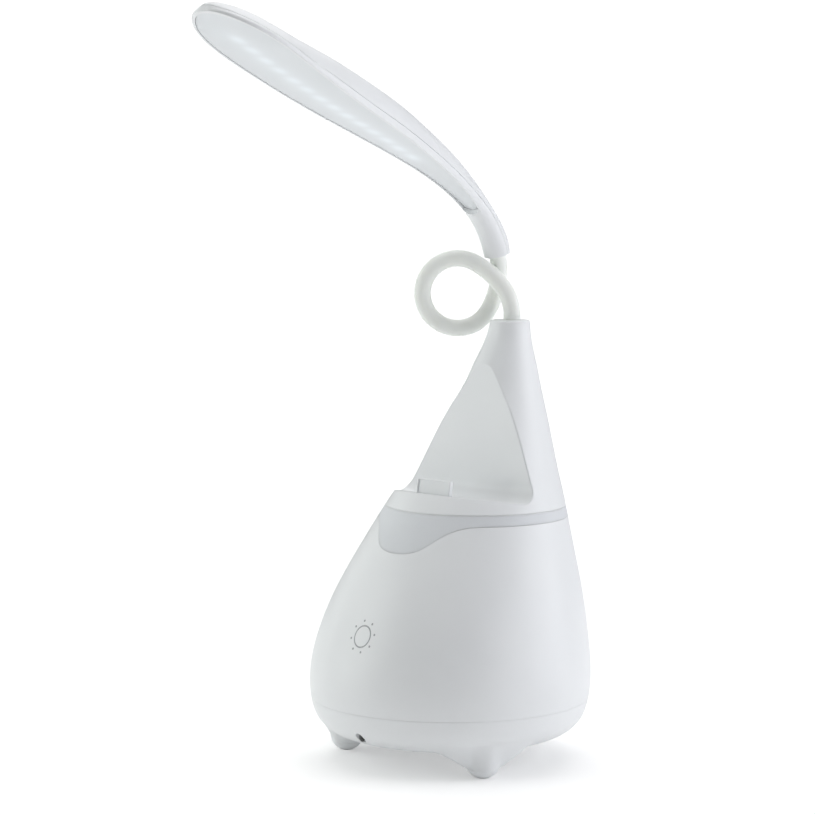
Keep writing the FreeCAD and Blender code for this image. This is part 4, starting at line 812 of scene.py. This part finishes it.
def soft_box(name, place, width, height, watts, code):
    """A rectangular light that faces the lamp."""
    light = bpy.data.lights.new(name, "AREA")
    light.shape = "RECTANGLE"
    light.size, light.size_y = width, height
    light.energy = watts
    light.color = linear(code)[:3]
    lamp = bpy.data.objects.new(name, light)
    lamp.location = place
    lamp.rotation_mode = "QUATERNION"
    lamp.rotation_quaternion = (AIM - place).to_track_quat("-Z", "Y")
    lamp.visible_camera = False
    bpy.context.scene.collection.objects.link(lamp)


soft_box("right_box", AIM + 1.1 * RIGHT + 0.1 * NEAR + 0.25 * UP, 0.9, 1.2, 7.1, "F9FAFF")
soft_box("right_front_box", AIM + 1.1 * RIGHT + 1.1 * NEAR + 0.35 * UP, 0.6, 1.2, 3.4, "F9FAFF")
soft_box("right_back_box", AIM + 1.0 * RIGHT - 0.9 * NEAR + 0.35 * UP, 0.9, 1.2, 1.1, "F9FAFF")
soft_box("left_box", AIM - 1.1 * RIGHT + 0.05 * NEAR + 0.25 * UP, 0.8, 1.2, 5.8, "FBFFFC")
soft_box("left_back_box", AIM - 1.0 * RIGHT - 0.9 * NEAR + 0.35 * UP, 0.8, 1.2, 2.6, "FBFFFC")
soft_box("top_box", AIM + 1.25 * UP - 0.1 * NEAR, 1.6, 1.4, 11.0, "FFFFFF")

back_light = bpy.data.lights.new("back_light", "SUN")
back_light.energy = BACK_LIGHT_STRENGTH
back_light.angle = BACK_LIGHT_SPREAD
back_lamp = bpy.data.objects.new("back_light", back_light)
back_lamp.rotation_mode = "QUATERNION"
towards = UP * math.cos(BACK_LIGHT_TILT) - NEAR * math.sin(BACK_LIGHT_TILT)
back_lamp.rotation_quaternion = towards.to_track_quat("Z", "Y")
bpy.context.scene.collection.objects.link(back_lamp)

room = bpy.data.worlds.new("pale_room")
bpy.context.scene.world = room
room.use_nodes = True
tree = room.node_tree
backdrop = tree.nodes["Background"]
backdrop.inputs["Color"].default_value = linear("FFFFFF")
seen = add_node(tree, "ShaderNodeLightPath").outputs["Is Camera Ray"]
strength = add_node(tree, "ShaderNodeMapRange", {}, {"Value": seen, "To Min": ROOM_LIGHT,
                                                     "To Max": BACKDROP_LIGHT})
tree.links.new(strength.outputs["Result"], backdrop.inputs["Strength"])

bpy.context.scene.view_settings.view_transform = "Standard"


# Camera: a long lens a little above the head's stem and tipped down, at the photograph's viewing
# angle. Its place and lens were fitted to the level rings of the base.

SENSOR_WIDTH = 36.0

camera_data = bpy.data.cameras.new("photograph_view")
camera_data.lens = CAMERA_LENS
camera_data.sensor_width = SENSOR_WIDTH
camera = bpy.data.objects.new("photograph_view", camera_data)
camera.location = CAMERA_PLACE
camera.rotation_euler = (math.radians(90) - CAMERA_PITCH, 0.0, CAMERA_HEADING)
bpy.context.scene.collection.objects.link(camera)
bpy.context.scene.camera = camera
